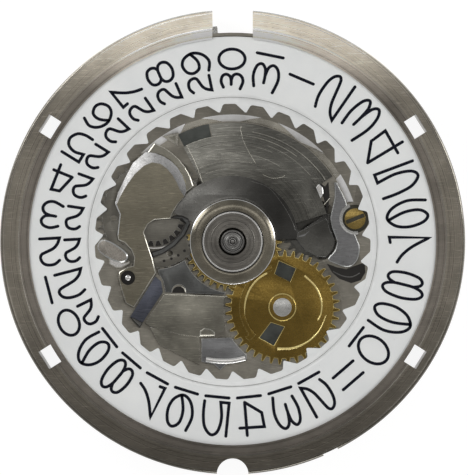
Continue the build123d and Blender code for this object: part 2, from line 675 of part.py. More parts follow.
# Main plate: train chambers from the rear, motion work and calendar recesses from the dial side
with BuildPart() as main_plate:
    add_disc(CENTRE, PLATE_R, BRIDGE_TOP_Z, TRACK_Z)
    add_tube(CENTRE, RIM_IN_R, PLATE_R, RIM_Z, BRIDGE_TOP_Z)
    add_tube(CENTRE, RING_OUT_R + PLAY, PLATE_R, TRACK_Z, LIP_Z)
    add_disc(CENTRE, CHANNEL_R, LAND_Z, TRACK_Z, Mode.SUBTRACT)
    add_sector(
        CENTRE, GROOVE_IN_R, GROOVE_OUT_R, GROOVE_START, GROOVE_END, LAND_Z - GROOVE_DEPTH, LAND_Z,
        Mode.SUBTRACT
    )
    for at, r, top in (
        (BARREL, tip_r(BARREL_TEETH, BARREL_MODULE) + WALL_PLAY, DRUM_TOP_Z + PLAY),
        (GREAT, tip_r(GREAT_TEETH, GREAT_MODULE) + WALL_PLAY, TRAIN_TOP_Z),
        (THIRD, tip_r(THIRD_TEETH, THIRD_MODULE) + WALL_PLAY, TRAIN_TOP_Z),
        (CENTRE, tip_r(SECONDS_TEETH, SECONDS_MODULE) + WALL_PLAY, TRAIN_TOP_Z),
        (ESCAPE, ESCAPE_R + WALL_PLAY, TRAIN_TOP_Z),
        (PALLET, PALLET_ROOM_R, LEVER_TOP_Z + PLAY),
        (BALANCE, ROLLER_ROOM_R, LEVER_TOP_Z + PLAY),
    ):
        add_disc(at, r, BRIDGE_TOP_Z, top, Mode.SUBTRACT)
    lever_middle = polar(LEVER_LENGTH / 2, LEVER_LINE, PALLET)
    add_box(
        lever_middle, LEVER_LENGTH, 2 * ROLLER_ROOM_R, BRIDGE_TOP_Z, LEVER_TOP_Z + PLAY, LEVER_LINE,
        Mode.SUBTRACT
    )
    add_box(PALLET, PALLET_BRIDGE_WIDTH + 2 * FIT, PALLET_BRIDGE_LENGTH + 2 * FIT, BRIDGE_TOP_Z,
            BRIDGE_TOP_Z + PALLET_BRIDGE_THICK, LEVER_LINE, Mode.SUBTRACT)
    for at, r, floor in (
        (CENTRE, CENTRE_RECESS_R, MOTION_FLOOR_Z),
        (GREAT, tip_r(CANNON_TEETH, CANNON_MODULE) + WALL_PLAY, MOTION_FLOOR_Z),
        (MINUTE, tip_r(MINUTE_TEETH, CANNON_MODULE) + WALL_PLAY, MOTION_FLOOR_Z),
        (SETTING, tip_r(SETTING_TEETH, CANNON_MODULE) + WALL_PLAY, MOTION_FLOOR_Z),
        (DATE, tip_r(DATE_TEETH, DATE_MODULE) + WALL_PLAY, DATE_GEAR_Z - PLAY),
        (INTERMEDIATE, tip_r(INTERMEDIATE_TEETH, DATE_MODULE) + WALL_PLAY, DATE_GEAR_Z - PLAY),
    ):
        add_disc(at, r, floor, LAND_Z, Mode.SUBTRACT)
    add_box(
        ((KEYLESS_IN_X + KEYLESS_OUT_X) / 2, 0), KEYLESS_OUT_X - KEYLESS_IN_X, 2 * KEYLESS_HALF,
        RIM_Z, KEYLESS_TOP_Z, 0, Mode.SUBTRACT,
    )
    winding_tip = tip_r(WINDING_PINION_TEETH, WINDING_MODULE)
    add_box((WINDING_X, 0), 2 * (WINDING_HALF + WALL_PLAY), 2 * winding_tip, BRIDGE_TOP_Z,
            STEM_Z + winding_tip + PLAY, 0, Mode.SUBTRACT)
    with Locations(Plane(origin=(CASING_R, 0, STEM_Z), z_dir=(1, 0, 0))):
        Cylinder(STEM_R, 2 * (CASING_R - KEYLESS_IN_X) + BRIDGE_THICK, mode=Mode.SUBTRACT)
    for at, r, z, top in (
        (CENTRE, TUBE_R, TRAIN_TOP_Z, LAND_Z),
        (GREAT, GREAT_ARBOR_R + FIT, TRAIN_TOP_Z, LAND_Z),
        (BARREL, BARREL_PIVOT_R + FIT, DRUM_TOP_Z, BARREL_PIVOT_TOP_Z + FIT),
        (THIRD, JEWEL_R, TRAIN_TOP_Z, TRAIN_TOP_Z + JEWEL_THICK),
        (ESCAPE, JEWEL_R, TRAIN_TOP_Z, TRAIN_TOP_Z + JEWEL_THICK),
        (PALLET, JEWEL_R, LEVER_TOP_Z, LEVER_TOP_Z + PLAY + JEWEL_THICK),
        (BALANCE, SHOCK_R, LEVER_TOP_Z, LEVER_TOP_Z + PLAY + SHOCK_THICK),
        (MINUTE, POST_R, MOTION_FLOOR_Z - POST_SINK, LAND_Z),
        (SETTING, POST_R, MOTION_FLOOR_Z - POST_SINK, LAND_Z),
        (DATE, POST_R, DATE_GEAR_Z - PLAY - POST_SINK, LAND_Z),
        (INTERMEDIATE, POST_R, DATE_GEAR_Z - PLAY - POST_SINK, LAND_Z),
    ):
        add_disc(at, r, z, top, Mode.SUBTRACT)
    for at in BARREL_BRIDGE_SCREWS + TRAIN_BRIDGE_SCREWS + [COCK_SCREW]:
        add_disc(at, SCREW_SHAFT_R, BRIDGE_TOP_Z, BRIDGE_TOP_Z + SCREW_BITE, Mode.SUBTRACT)
    for angle in CLAMP_ANGLES:
        middle = polar(CLAMP_SCREW_R, angle)
        add_disc(middle, CLAMP_SHAFT_R, CLAMP_TOP_Z, CLAMP_TOP_Z + SCREW_BITE, Mode.SUBTRACT)
        add_box(
            polar(PLATE_R, angle), 2 * (PLATE_R - RIM_IN_R) + CLAMP_WIDTH, CLAMP_WIDTH + 2 * PLAY,
            RIM_Z, CLAMP_TOP_Z, angle, Mode.SUBTRACT,
        )
    for at, r in (
        (JUMPER_PIVOT, PIVOT_PIN_R + FIT),
        (LEVER_PIVOT, PIVOT_PIN_R + FIT),
        (CORRECTOR_PIVOT, PIVOT_PIN_R + FIT),
        (STOP_PIN, PIN_HEAD_R),
    ):
        add_disc(at, r, LAND_Z - POST_SINK, LAND_Z, Mode.SUBTRACT)
    add_disc(LEVER_SCREW, LEVER_RECESS_R, LAND_Z - LEVER_HEAD, LAND_Z, Mode.SUBTRACT)
    add_disc(LEVER_SCREW, SCREW_SHAFT_R, LAND_Z - LEVER_HEAD - POST_SINK, LAND_Z, Mode.SUBTRACT)
keep(main_plate, "main_plate")

# Barrel bridge and train bridge share one outline, parted along the line DIVIDE
DIVIDE = [(-CUT_REACH, 4.6), (-0.5, 4.6), (1.2, 1.7), (5.2, -0.9), (6.2, -3.2), (CUT_REACH, -3.2)]
with BuildPart() as barrel_bridge:
    with BuildSketch(Plane.XY.offset(BRIDGE_Z)):
        Circle(BRIDGE_R)
        with BuildLine():
            Polyline((CUT_REACH, CUT_REACH), (-CUT_REACH, CUT_REACH), *DIVIDE, close=True)
        make_face(mode=Mode.INTERSECT)
    extrude(amount=BRIDGE_THICK)
    add_disc(BARREL, BARREL_ARBOR_R + FIT, BRIDGE_Z, BRIDGE_TOP_Z, Mode.SUBTRACT)
    add_disc(REDUCTION, AUTO_PIVOT_R + FIT, BRIDGE_Z, BRIDGE_TOP_Z, Mode.SUBTRACT)
    add_disc(CROWN, SCREW_SHAFT_R, BRIDGE_Z, BRIDGE_TOP_Z, Mode.SUBTRACT)
    add_disc(CLICK, SCREW_SHAFT_R, BRIDGE_Z, BRIDGE_TOP_Z, Mode.SUBTRACT)
    add_box((BRIDGE_R, 0), 2 * (BRIDGE_R - WINDING_X + WINDING_HALF + WALL_PLAY), 2 * KEYLESS_PAD,
            BRIDGE_Z, BRIDGE_TOP_Z, 0, Mode.SUBTRACT)
    add_box(((KEYLESS_IN_X + BRIDGE_R) / 2, 0), BRIDGE_R - KEYLESS_IN_X, 2 * KEYLESS_PAD,
            KEYLESS_FLOOR_Z, BRIDGE_TOP_Z, 0, Mode.SUBTRACT)
    for at in BARREL_BRIDGE_SCREWS:
        add_disc(at, SCREW_SHAFT_R, BRIDGE_Z, BRIDGE_TOP_Z, Mode.SUBTRACT)
    for angle in CLAMP_ANGLES:
        add_disc(polar(CLAMP_SCREW_R, angle), CLAMP_ROOM_R, BRIDGE_Z, BRIDGE_TOP_Z, Mode.SUBTRACT)
    add_tube(CROWN, SCREW_SHAFT_R, CROWN_CORE_R, CORE_Z, BRIDGE_Z)
    add_tube(CLICK, SCREW_SHAFT_R, CLICK_CORE_R, CORE_Z, BRIDGE_Z)
keep(barrel_bridge, "barrel_bridge")

with BuildPart() as train_bridge:
    with BuildSketch(Plane.XY.offset(BRIDGE_Z)):
        Circle(BRIDGE_R)
        with BuildLine():
            Polyline((CUT_REACH, -CUT_REACH), (-CUT_REACH, -CUT_REACH),
                     *[(x, y - BRIDGE_GAP) for x, y in DIVIDE], close=True)
        make_face(mode=Mode.INTERSECT)
    extrude(amount=BRIDGE_THICK)
    add_disc(BALANCE, BALANCE_ROOM_R, BRIDGE_Z, BRIDGE_TOP_Z, Mode.SUBTRACT)
    add_box(COCK_SCREW, COCK_FOOT + 2 * BRIDGE_GAP, COCK_FOOT + 2 * BRIDGE_GAP, BRIDGE_Z, BRIDGE_TOP_Z,
            heading(BALANCE, COCK_SCREW), Mode.SUBTRACT)
    for at in (GREAT, THIRD, CENTRE, ESCAPE):
        add_disc(at, JEWEL_HOLE_R, BRIDGE_Z, BRIDGE_TOP_Z, Mode.SUBTRACT)
        add_disc(at, JEWEL_R, JEWEL_FLOOR_Z, BRIDGE_TOP_Z, Mode.SUBTRACT)
    add_disc(REVERSER, AUTO_PIVOT_R + FIT, BRIDGE_Z, BRIDGE_Z + JEWEL_THICK, Mode.SUBTRACT)
    for at in AUTO_FEET:
        add_disc(at, AUTO_SHAFT_R, BRIDGE_Z, BRIDGE_Z + JEWEL_THICK, Mode.SUBTRACT)
    for at in TRAIN_BRIDGE_SCREWS:
        add_disc(at, SCREW_SHAFT_R, BRIDGE_Z, BRIDGE_TOP_Z, Mode.SUBTRACT)
    for angle in CLAMP_ANGLES:
        add_disc(polar(CLAMP_SCREW_R, angle), CLAMP_ROOM_R, BRIDGE_Z, BRIDGE_TOP_Z, Mode.SUBTRACT)
keep(train_bridge, "train_bridge")

with BuildPart() as pallet_bridge:
    add_box(PALLET, PALLET_BRIDGE_WIDTH, PALLET_BRIDGE_LENGTH, BRIDGE_TOP_Z,
            BRIDGE_TOP_Z + PALLET_BRIDGE_THICK, LEVER_LINE)
    add_disc(PALLET, JEWEL_HOLE_R, BRIDGE_TOP_Z, BRIDGE_TOP_Z + PALLET_BRIDGE_THICK, Mode.SUBTRACT)
keep(pallet_bridge, "pallet_bridge")

# Balance cock: a foot on the main plate and an arm that carries the rear pivot of the balance
with BuildPart() as balance_cock:
    add_box(COCK_SCREW, COCK_FOOT, COCK_FOOT, COCK_Z, BRIDGE_TOP_Z, COCK_LINE)
    add_box(polar(COCK_LENGTH / 2, COCK_LINE, BALANCE), COCK_LENGTH, COCK_WIDTH, COCK_Z,
            COCK_Z + COCK_THICK, COCK_LINE)
    add_disc(BALANCE, COCK_WIDTH / 2, COCK_Z, COCK_Z + COCK_THICK)
    add_disc(BALANCE, SHOCK_R, COCK_Z, COCK_Z + COCK_THICK, Mode.SUBTRACT)
    add_disc(COCK_SCREW, SCREW_SHAFT_R, COCK_Z, BRIDGE_TOP_Z, Mode.SUBTRACT)
    add_disc(STUD, STUD_R, COCK_Z, HAIRSPRING_Z + HAIRSPRING_HEIGHT)
keep(balance_cock, "balance_cock")

# Shock settings hold the balance pivots, one in the cock and one in the main plate
with BuildPart() as shock_settings:
    add_tube(BALANCE, JEWEL_HOLE_R, SHOCK_R, COCK_Z, COCK_Z + COCK_THICK)
    add_tube(BALANCE, JEWEL_HOLE_R, SHOCK_R, LEVER_TOP_Z + PLAY, LEVER_TOP_Z + PLAY + SHOCK_THICK)
keep(shock_settings, "shock_settings")

# Jewels pressed into the bridge and the main plate: one group, as they are all alike
with BuildPart() as train_jewels:
    for at in (GREAT, THIRD, CENTRE, ESCAPE):
        add_tube(at, JEWEL_HOLE_R, JEWEL_R, JEWEL_FLOOR_Z, BRIDGE_TOP_Z)
    for at in (THIRD, ESCAPE):
        add_tube(at, JEWEL_HOLE_R, JEWEL_R, TRAIN_TOP_Z, JEWEL_TOP_Z)
    add_tube(PALLET, JEWEL_HOLE_R, JEWEL_R, LEVER_TOP_Z + PLAY, LEVER_TOP_Z + PLAY + JEWEL_THICK)
keep(train_jewels, "train_jewels")

# Bridge screws: one group, as they are all alike
with BuildPart() as bridge_screws:
    for n, at in enumerate(BARREL_BRIDGE_SCREWS + TRAIN_BRIDGE_SCREWS):
        add_screw(
            at, SCREW_HEAD_R, SCREW_SHAFT_R, BRIDGE_Z, SCREW_HEAD, BRIDGE_TOP_Z + SCREW_BITE,
            n * SLOT_TURN,
        )
    add_screw(
        COCK_SCREW, SCREW_HEAD_R, SCREW_SHAFT_R, COCK_Z, COCK_HEAD, BRIDGE_TOP_Z + SCREW_BITE, SLOT_TURN
    )
keep(bridge_screws, "bridge_screws")

# Barrel: a toothed drum with its lid, and the arbor that the mainspring is wound on
with BuildPart() as barrel_drum:
    add_disc(BARREL, DRUM_R, DRUM_Z, DRUM_TOP_Z)
    add_disc(BARREL, DRUM_R - DRUM_WALL, DRUM_Z, DRUM_TOP_Z - DRUM_FLOOR, Mode.SUBTRACT)
    add_gear(BARREL, GREAT_PINION_Z, DRUM_TOP_Z - GREAT_PINION_Z, BARREL_TEETH, BARREL_MODULE)
    add_disc(BARREL, DRUM_R - DRUM_WALL, GREAT_PINION_Z, DRUM_TOP_Z - DRUM_FLOOR, Mode.SUBTRACT)
    add_disc(BARREL, BARREL_ARBOR_R + FIT, DRUM_Z, DRUM_TOP_Z, Mode.SUBTRACT)
keep(barrel_drum, "barrel_drum")

with BuildPart() as barrel_lid:
    add_tube(BARREL, BARREL_ARBOR_R + FIT, DRUM_R - DRUM_WALL, DRUM_Z, DRUM_Z + DRUM_FLOOR)
keep(barrel_lid, "barrel_lid")

with BuildPart() as mainspring:
    spring_z = DRUM_Z + DRUM_FLOOR + PLAY
    spring_room = DRUM_R - DRUM_WALL - BARREL_HUB_R - PLAY
    spring_pitch = (spring_room - SPRING_THICK) / SPRING_TURNS
    spiral(BARREL, spring_z, DRUM_TOP_Z - DRUM_FLOOR - PLAY - spring_z, BARREL_HUB_R + PLAY,
           spring_pitch, 2 * SPRING_TURNS, SPRING_THICK)
keep(mainspring, "mainspring")

with BuildPart() as barrel_arbor:
    add_disc(BARREL, BARREL_ARBOR_R, BRIDGE_Z, DRUM_TOP_Z)
    add_disc(BARREL, BARREL_HUB_R, DRUM_Z + DRUM_FLOOR + PLAY, DRUM_TOP_Z - DRUM_FLOOR - PLAY)
    add_disc(BARREL, BARREL_PIVOT_R, DRUM_TOP_Z, BARREL_PIVOT_TOP_Z)
    add_box(BARREL, RATCHET_SQUARE, RATCHET_SQUARE, RATCHET_Z, BRIDGE_Z)
    add_disc(BARREL, RATCHET_HEAD_R, RATCHET_Z - RATCHET_HEAD, RATCHET_Z)
keep(barrel_arbor, "barrel_arbor")

with BuildPart() as ratchet_wheel:
    add_gear(BARREL, RATCHET_Z, RATCHET_THICK, RATCHET_TEETH, WINDING_MODULE)
    add_box(BARREL, RATCHET_SQUARE, RATCHET_SQUARE, RATCHET_Z, BRIDGE_Z, 0, Mode.SUBTRACT)
keep(ratchet_wheel, "ratchet_wheel")

# Going train
with BuildPart() as great_wheel:
    add_gear(GREAT, GREAT_Z, WHEEL_THICK, GREAT_TEETH, GREAT_MODULE)
    cut_spokes(
        GREAT, GREAT_Z, GREAT_Z + WHEEL_THICK, SPOKE_IN_R,
        pitch_r(GREAT_TEETH, GREAT_MODULE) - RIM_WIDTH, 5, SPOKE_WIDTH,
    )
    add_gear(
        GREAT, GREAT_PINION_Z, DRUM_TOP_Z - GREAT_PINION_Z, GREAT_PINION_TEETH, BARREL_MODULE,
        GREAT_PINION_TURN,
    )
    add_disc(GREAT, GREAT_ARBOR_R, BRIDGE_TOP_Z + PINION_TOP_GAP / 2, HOUR_Z - PINION_TOP_GAP)
    add_disc(GREAT, PIVOT_R, JEWEL_FLOOR_Z, BRIDGE_TOP_Z + PINION_TOP_GAP)
keep(great_wheel, "great_wheel")

with BuildPart() as driving_pinion:
    add_gear(GREAT, CANNON_Z, CANNON_THICK, CANNON_TEETH, CANNON_MODULE, DRIVING_TURN)
    add_disc(GREAT, GREAT_ARBOR_R, CANNON_Z, CANNON_Z + CANNON_THICK, Mode.SUBTRACT)
keep(driving_pinion, "driving_pinion")

with BuildPart() as third_wheel:
    add_gear(THIRD, THIRD_Z, WHEEL_THICK, THIRD_TEETH, THIRD_MODULE)
    cut_spokes(
        THIRD, THIRD_Z, THIRD_Z + WHEEL_THICK, SPOKE_IN_R,
        pitch_r(THIRD_TEETH, THIRD_MODULE) - RIM_WIDTH, 4, SPOKE_WIDTH,
    )
    add_gear(
        THIRD, THIRD_PINION_Z, THIRD_PINION_TOP_Z - THIRD_PINION_Z, THIRD_PINION_TEETH, GREAT_MODULE,
        THIRD_PINION_TURN,
    )
    add_disc(THIRD, ARBOR_R, THIRD_PINION_Z, TRAIN_TOP_Z - PINION_TOP_GAP)
    add_disc(THIRD, PIVOT_R, JEWEL_FLOOR_Z, JEWEL_TOP_Z)
keep(third_wheel, "third_wheel")

with BuildPart() as seconds_wheel:
    add_gear(CENTRE, SECONDS_Z, WHEEL_THICK, SECONDS_TEETH, SECONDS_MODULE)
    cut_spokes(
        CENTRE, SECONDS_Z, SECONDS_Z + WHEEL_THICK, SPOKE_IN_R,
        pitch_r(SECONDS_TEETH, SECONDS_MODULE) - RIM_WIDTH, 4, SPOKE_WIDTH,
    )
    add_gear(
        CENTRE, SECONDS_PINION_Z, SECONDS_PINION_TOP_Z - SECONDS_PINION_Z, SECONDS_PINION_TEETH,
        THIRD_MODULE, SECONDS_PINION_TURN,
    )
    add_disc(CENTRE, ARBOR_R, BRIDGE_TOP_Z + PINION_TOP_GAP, TRAIN_TOP_Z - PINION_TOP_GAP)
    add_disc(CENTRE, PIVOT_R, JEWEL_FLOOR_Z, BRIDGE_TOP_Z + PINION_TOP_GAP)
    add_disc(CENTRE, SECONDS_SEAT_R, TRAIN_TOP_Z - PINION_TOP_GAP, SECONDS_SEAT_TOP)
keep(seconds_wheel, "seconds_wheel")

with BuildPart() as escape_wheel:
    with BuildSketch(level(LEVER_Z, ESCAPE)):
        with BuildLine():
            Polyline(*escape_points(), close=True)
        make_face()
    extrude(amount=LEVER_THICK)
    cut_spokes(ESCAPE, LEVER_Z, LEVER_Z + LEVER_THICK, ESCAPE_HUB_R, ESCAPE_SPOKE_R, 4, ESCAPE_SPOKE)
    add_gear(
        ESCAPE, ESCAPE_PINION_Z, TRAIN_TOP_Z - PINION_TOP_GAP - ESCAPE_PINION_Z, ESCAPE_PINION_TEETH,
        SECONDS_MODULE, ESCAPE_PINION_TURN,
    )
    add_disc(ESCAPE, ESCAPE_ARBOR_R, BRIDGE_TOP_Z + PINION_TOP_GAP, TRAIN_TOP_Z - PINION_TOP_GAP)
    add_disc(ESCAPE, PIVOT_R, JEWEL_FLOOR_Z, JEWEL_TOP_Z)
keep(escape_wheel, "escape_wheel")

# Pallet fork: two arms with jewelled ends and a lever that points at the balance
with BuildPart() as pallet_fork:
    add_disc(PALLET, FORK_HUB_R, LEVER_Z, LEVER_Z + LEVER_THICK)
    for stone in STONES:
        reach = distance(PALLET, stone)
        line = heading(PALLET, stone)
        add_box(polar(reach / 2, line, PALLET), reach, FORK_WIDTH, LEVER_Z, LEVER_Z + LEVER_THICK, line)
    for stone in STONES:
        line = heading(stone, ESCAPE)
        add_box(
            polar(-STONE_LENGTH / 2, line, stone), STONE_LENGTH, STONE_WIDTH, LEVER_Z,
            LEVER_Z + LEVER_THICK, line, Mode.SUBTRACT,
        )
    tail = LEVER_LENGTH - PIN_CIRCLE_R - PIN_R - 2 * PLAY
    add_box(
        polar(tail / 2, LEVER_LINE, PALLET), tail, FORK_WIDTH, LEVER_Z, LEVER_Z + LEVER_THICK,
        LEVER_LINE,
    )
    add_box(
        polar(tail - FORK_WIDTH / 2, LEVER_LINE, PALLET), FORK_WIDTH, 3 * FORK_WIDTH, LEVER_Z,
        LEVER_Z + LEVER_THICK, LEVER_LINE,
    )
    add_box(
        polar(tail, LEVER_LINE, PALLET), FORK_WIDTH, 2 * (PIN_R + PLAY), LEVER_Z, LEVER_Z + LEVER_THICK,
        LEVER_LINE, Mode.SUBTRACT,
    )
    add_disc(PALLET, ESCAPE_ARBOR_R, BRIDGE_TOP_Z + PALLET_BRIDGE_THICK + PLAY, LEVER_TOP_Z)
    add_disc(PALLET, PIVOT_R, BRIDGE_TOP_Z, LEVER_TOP_Z + PLAY + JEWEL_THICK)
keep(pallet_fork, "pallet_fork")

with BuildPart() as pallet_stones:
    for stone in STONES:
        line = heading(stone, ESCAPE)
        add_box(
            polar(-STONE_LENGTH / 2, line, stone), STONE_LENGTH, STONE_WIDTH, LEVER_Z,
            LEVER_Z + LEVER_THICK, line,
        )
keep(pallet_stones, "pallet_stones")

# Balance
with BuildPart() as balance_wheel:
    add_disc(BALANCE, BALANCE_R, BALANCE_Z, BALANCE_Z + BALANCE_THICK)
    cut_spokes(
        BALANCE, BALANCE_Z, BALANCE_Z + BALANCE_THICK, ROLLER_R, BALANCE_R - BALANCE_RIM, 3, BALANCE_ARM
    )
    add_disc(BALANCE, STAFF_R, BALANCE_Z, BALANCE_Z + BALANCE_THICK, Mode.SUBTRACT)
keep(balance_wheel, "balance_wheel")

with BuildPart() as balance_staff:
    add_disc(BALANCE, STAFF_R, HAIRSPRING_Z, LEVER_TOP_Z - PLAY)
    add_disc(BALANCE, PIVOT_R, COCK_Z + PLAY, LEVER_TOP_Z + SHOCK_THICK)
    add_disc(BALANCE, ROLLER_R, ROLLER_Z, LEVER_Z - PLAY)
    add_disc(polar(PIN_CIRCLE_R, LEVER_LINE + 180, BALANCE), PIN_R, LEVER_Z - PLAY, LEVER_Z + LEVER_THICK)
keep(balance_staff, "balance_staff")

with BuildPart() as hairspring:
    add_tube(BALANCE, STAFF_R, COLLET_R, HAIRSPRING_Z, HAIRSPRING_Z + HAIRSPRING_HEIGHT)
    spiral(BALANCE, HAIRSPRING_Z, HAIRSPRING_HEIGHT, COLLET_R - HAIRSPRING_THICK / 2, HAIRSPRING_PITCH,
           2 * HAIRSPRING_TURNS, HAIRSPRING_THICK, COCK_LINE)
keep(hairspring, "hairspring")

# Automatic winding: bridge, reversing wheel, reduction wheel, crown wheel and click
with BuildPart() as automatic_bridge:
    auto_top = AUTO_BRIDGE_Z + AUTO_BRIDGE_THICK
    add_disc(CENTRE, AUTO_HUB_R, AUTO_BRIDGE_Z, auto_top)
    for at in AUTO_FEET + [REVERSER]:
        add_box(polar(distance(CENTRE, at) / 2, heading(CENTRE, at)), distance(CENTRE, at), AUTO_ARM_WIDTH,
                AUTO_BRIDGE_Z, auto_top, heading(CENTRE, at))
        add_disc(at, AUTO_ARM_WIDTH / 2, AUTO_BRIDGE_Z, auto_top)
    reach = distance(REVERSER, REDUCTION)
    line = heading(REVERSER, REDUCTION)
    add_box(polar(reach / 2, line, REVERSER), reach, AUTO_ARM_WIDTH, AUTO_BRIDGE_Z, auto_top, line)
    add_disc(REDUCTION, AUTO_ARM_WIDTH / 2, AUTO_BRIDGE_Z, auto_top)
    for at in AUTO_FEET:
        add_disc(at, AUTO_FOOT_R, AUTO_BRIDGE_Z, BRIDGE_Z)
        add_disc(at, AUTO_SHAFT_R, AUTO_BRIDGE_Z, BRIDGE_Z, Mode.SUBTRACT)
    add_disc(REVERSER, ARBOR_R + FIT, AUTO_BRIDGE_Z, auto_top, Mode.SUBTRACT)
    add_disc(REDUCTION, AUTO_PIVOT_R + FIT, AUTO_BRIDGE_Z, auto_top, Mode.SUBTRACT)
    add_disc(CENTRE, ROTOR_SCREW_R, AUTO_BRIDGE_Z, auto_top, Mode.SUBTRACT)
keep(automatic_bridge, "automatic_bridge")

with BuildPart() as automatic_screws:
    for n, at in enumerate(AUTO_FEET):
        add_screw(
            at, AUTO_HEAD_R, AUTO_SHAFT_R, AUTO_BRIDGE_Z, AUTO_HEAD, BRIDGE_Z + JEWEL_THICK,
            n * SLOT_TURN,
        )
keep(automatic_screws, "automatic_screws")

with BuildPart() as reversing_wheel:
    add_gear(REVERSER, ROTOR_GEAR_Z, ROTOR_GEAR_THICK, REVERSER_TEETH, ROTOR_MODULE)
    add_gear(
        REVERSER, REDUCTION_Z, REDUCTION_THICK, REVERSER_PINION_TEETH, REDUCTION_MODULE,
        REVERSER_PINION_TURN,
    )
    add_disc(REVERSER, ARBOR_R, ROTOR_GEAR_Z, BRIDGE_Z - PLAY)
    add_disc(REVERSER, AUTO_PIVOT_R, BRIDGE_Z - PLAY, BRIDGE_Z + JEWEL_THICK - PLAY)
keep(reversing_wheel, "reversing_wheel")

with BuildPart() as reduction_wheel:
    add_gear(REDUCTION, REDUCTION_Z, REDUCTION_THICK, REDUCTION_TEETH, REDUCTION_MODULE)
    cut_spokes(
        REDUCTION, REDUCTION_Z, REDUCTION_Z + REDUCTION_THICK, REDUCTION_HUB_R, REDUCTION_SPOKE_R, 5,
        SPOKE_WIDTH,
    )
    add_gear(
        REDUCTION, REDUCTION_Z, BRIDGE_Z - PLAY - REDUCTION_Z, REDUCTION_PINION_TEETH, WINDING_MODULE,
        REDUCTION_PINION_TURN,
    )
    add_disc(REDUCTION, AUTO_PIVOT_R, AUTO_BRIDGE_Z + PLAY, BRIDGE_TOP_Z - PLAY)
keep(reduction_wheel, "reduction_wheel")

with BuildPart() as crown_wheel:
    add_gear(CROWN, RATCHET_Z, RATCHET_THICK, CROWN_TEETH, WINDING_MODULE, CROWN_TURN)
    add_disc(CROWN, CROWN_CORE_R + FIT, RATCHET_Z, RATCHET_Z + RATCHET_THICK, Mode.SUBTRACT)
keep(crown_wheel, "crown_wheel")

with BuildPart() as wheel_screws:
    add_screw(CROWN, CORE_HEAD_R, SCREW_SHAFT_R, CORE_Z, SCREW_HEAD, KEYLESS_FLOOR_Z, SLOT_TURN)
    add_screw(CLICK, CLICK_HEAD_R, SCREW_SHAFT_R, CORE_Z, SCREW_HEAD, BRIDGE_TOP_Z, -SLOT_TURN)
keep(wheel_screws, "wheel_screws")

CLICK_TIP = polar(tip_r(RATCHET_TEETH, WINDING_MODULE) + PLAY, heading(BARREL, CLICK) + CLICK_SKEW, BARREL)
with BuildPart() as click:
    add_disc(CLICK, CLICK_R, RATCHET_Z, RATCHET_Z + RATCHET_THICK)
    side = [polar(CLICK_R, heading(CLICK, CLICK_TIP) + turn, CLICK) for turn in (-90, 90)]
    add_outline([side[0], CLICK_TIP, side[1]], RATCHET_Z, RATCHET_Z + RATCHET_THICK)
    add_disc(CLICK, CLICK_CORE_R + FIT, RATCHET_Z, RATCHET_Z + RATCHET_THICK, Mode.SUBTRACT)
keep(click, "click")

# Click spring: a curved blade beside the click, on its own foot
with BuildPart() as click_spring:
    add_sector(CLICK, CLICK_R + PLAY, CLICK_R + PLAY + BLADE, 0, 130, RATCHET_Z, BRIDGE_Z)
    add_disc(polar(CLICK_R + PLAY + CLAMP_SHAFT_R, 0, CLICK), CLAMP_SHAFT_R + BLADE, RATCHET_Z, BRIDGE_Z)
    add_disc(CLICK, CLICK_R + PLAY, RATCHET_Z, BRIDGE_Z, Mode.SUBTRACT)
keep(click_spring, "click_spring")

# Rotor: a heavy half ring on a thin plate, turning on balls around a race on the bridge
with BuildPart() as rotor_plate:
    add_sector(
        CENTRE, BALL_RACE_R + BALL_R, WEIGHT_IN_R + WEIGHT_LAP, -ROTOR_SWEEP, 0, ROTOR_PLATE_Z,
        ROTOR_PLATE_Z + ROTOR_PLATE_THICK,
    )
    add_disc(CENTRE, ROTOR_HUB_R, ROTOR_PLATE_Z - PLAY, ROTOR_GEAR_Z)
    for start, end in ((-170, -125), (-115, -65), (-55, -10)):
        add_sector(
            CENTRE, ROTOR_WINDOW_IN, ROTOR_WINDOW_OUT, start, end, ROTOR_PLATE_Z, ROTOR_GEAR_Z,
            Mode.SUBTRACT,
        )
    add_gear(CENTRE, ROTOR_GEAR_Z, ROTOR_GEAR_THICK, ROTOR_TEETH, ROTOR_MODULE, ROTOR_TURN)
    add_disc(CENTRE, BALL_RACE_R + BALL_R, ROTOR_Z, ROTOR_GEAR_Z + ROTOR_GEAR_THICK, Mode.SUBTRACT)
keep(rotor_plate, "rotor_plate")

with BuildPart() as rotor_weight:
    add_sector(CENTRE, WEIGHT_IN_R, WEIGHT_OUT_R, -ROTOR_SWEEP, 0, ROTOR_Z, ROTOR_Z + WEIGHT_THICK)
    add_sector(CENTRE, WEIGHT_IN_R - WEIGHT_LAP, WEIGHT_IN_R + WEIGHT_LAP, -ROTOR_SWEEP - 1, 1,
               ROTOR_PLATE_Z, ROTOR_PLATE_Z + ROTOR_PLATE_THICK, Mode.SUBTRACT)
keep(rotor_weight, "rotor_weight")

with BuildPart() as bearing_balls:
    ball_z = (ROTOR_PLATE_Z + ROTOR_GEAR_Z) / 2
    for n in range(BALLS):
        at = polar(BALL_RACE_R, n * 360 / BALLS)
        with Locations((at[0], at[1], ball_z)):
            Sphere(BALL_R)
keep(bearing_balls, "bearing_balls")

# The screw that holds the rotor carries the inner race of its balls
with BuildPart() as rotor_screw:
    add_screw(
        CENTRE, ROTOR_HEAD_R, ROTOR_SCREW_R, ROTOR_PLATE_Z, ROTOR_PLATE_Z - ROTOR_Z - PLAY, auto_top,
        SLOT_TURN,
    )
    add_disc(CENTRE, BALL_RACE_R - BALL_R - FIT, ROTOR_PLATE_Z, AUTO_BRIDGE_Z)
keep(rotor_screw, "rotor_screw")

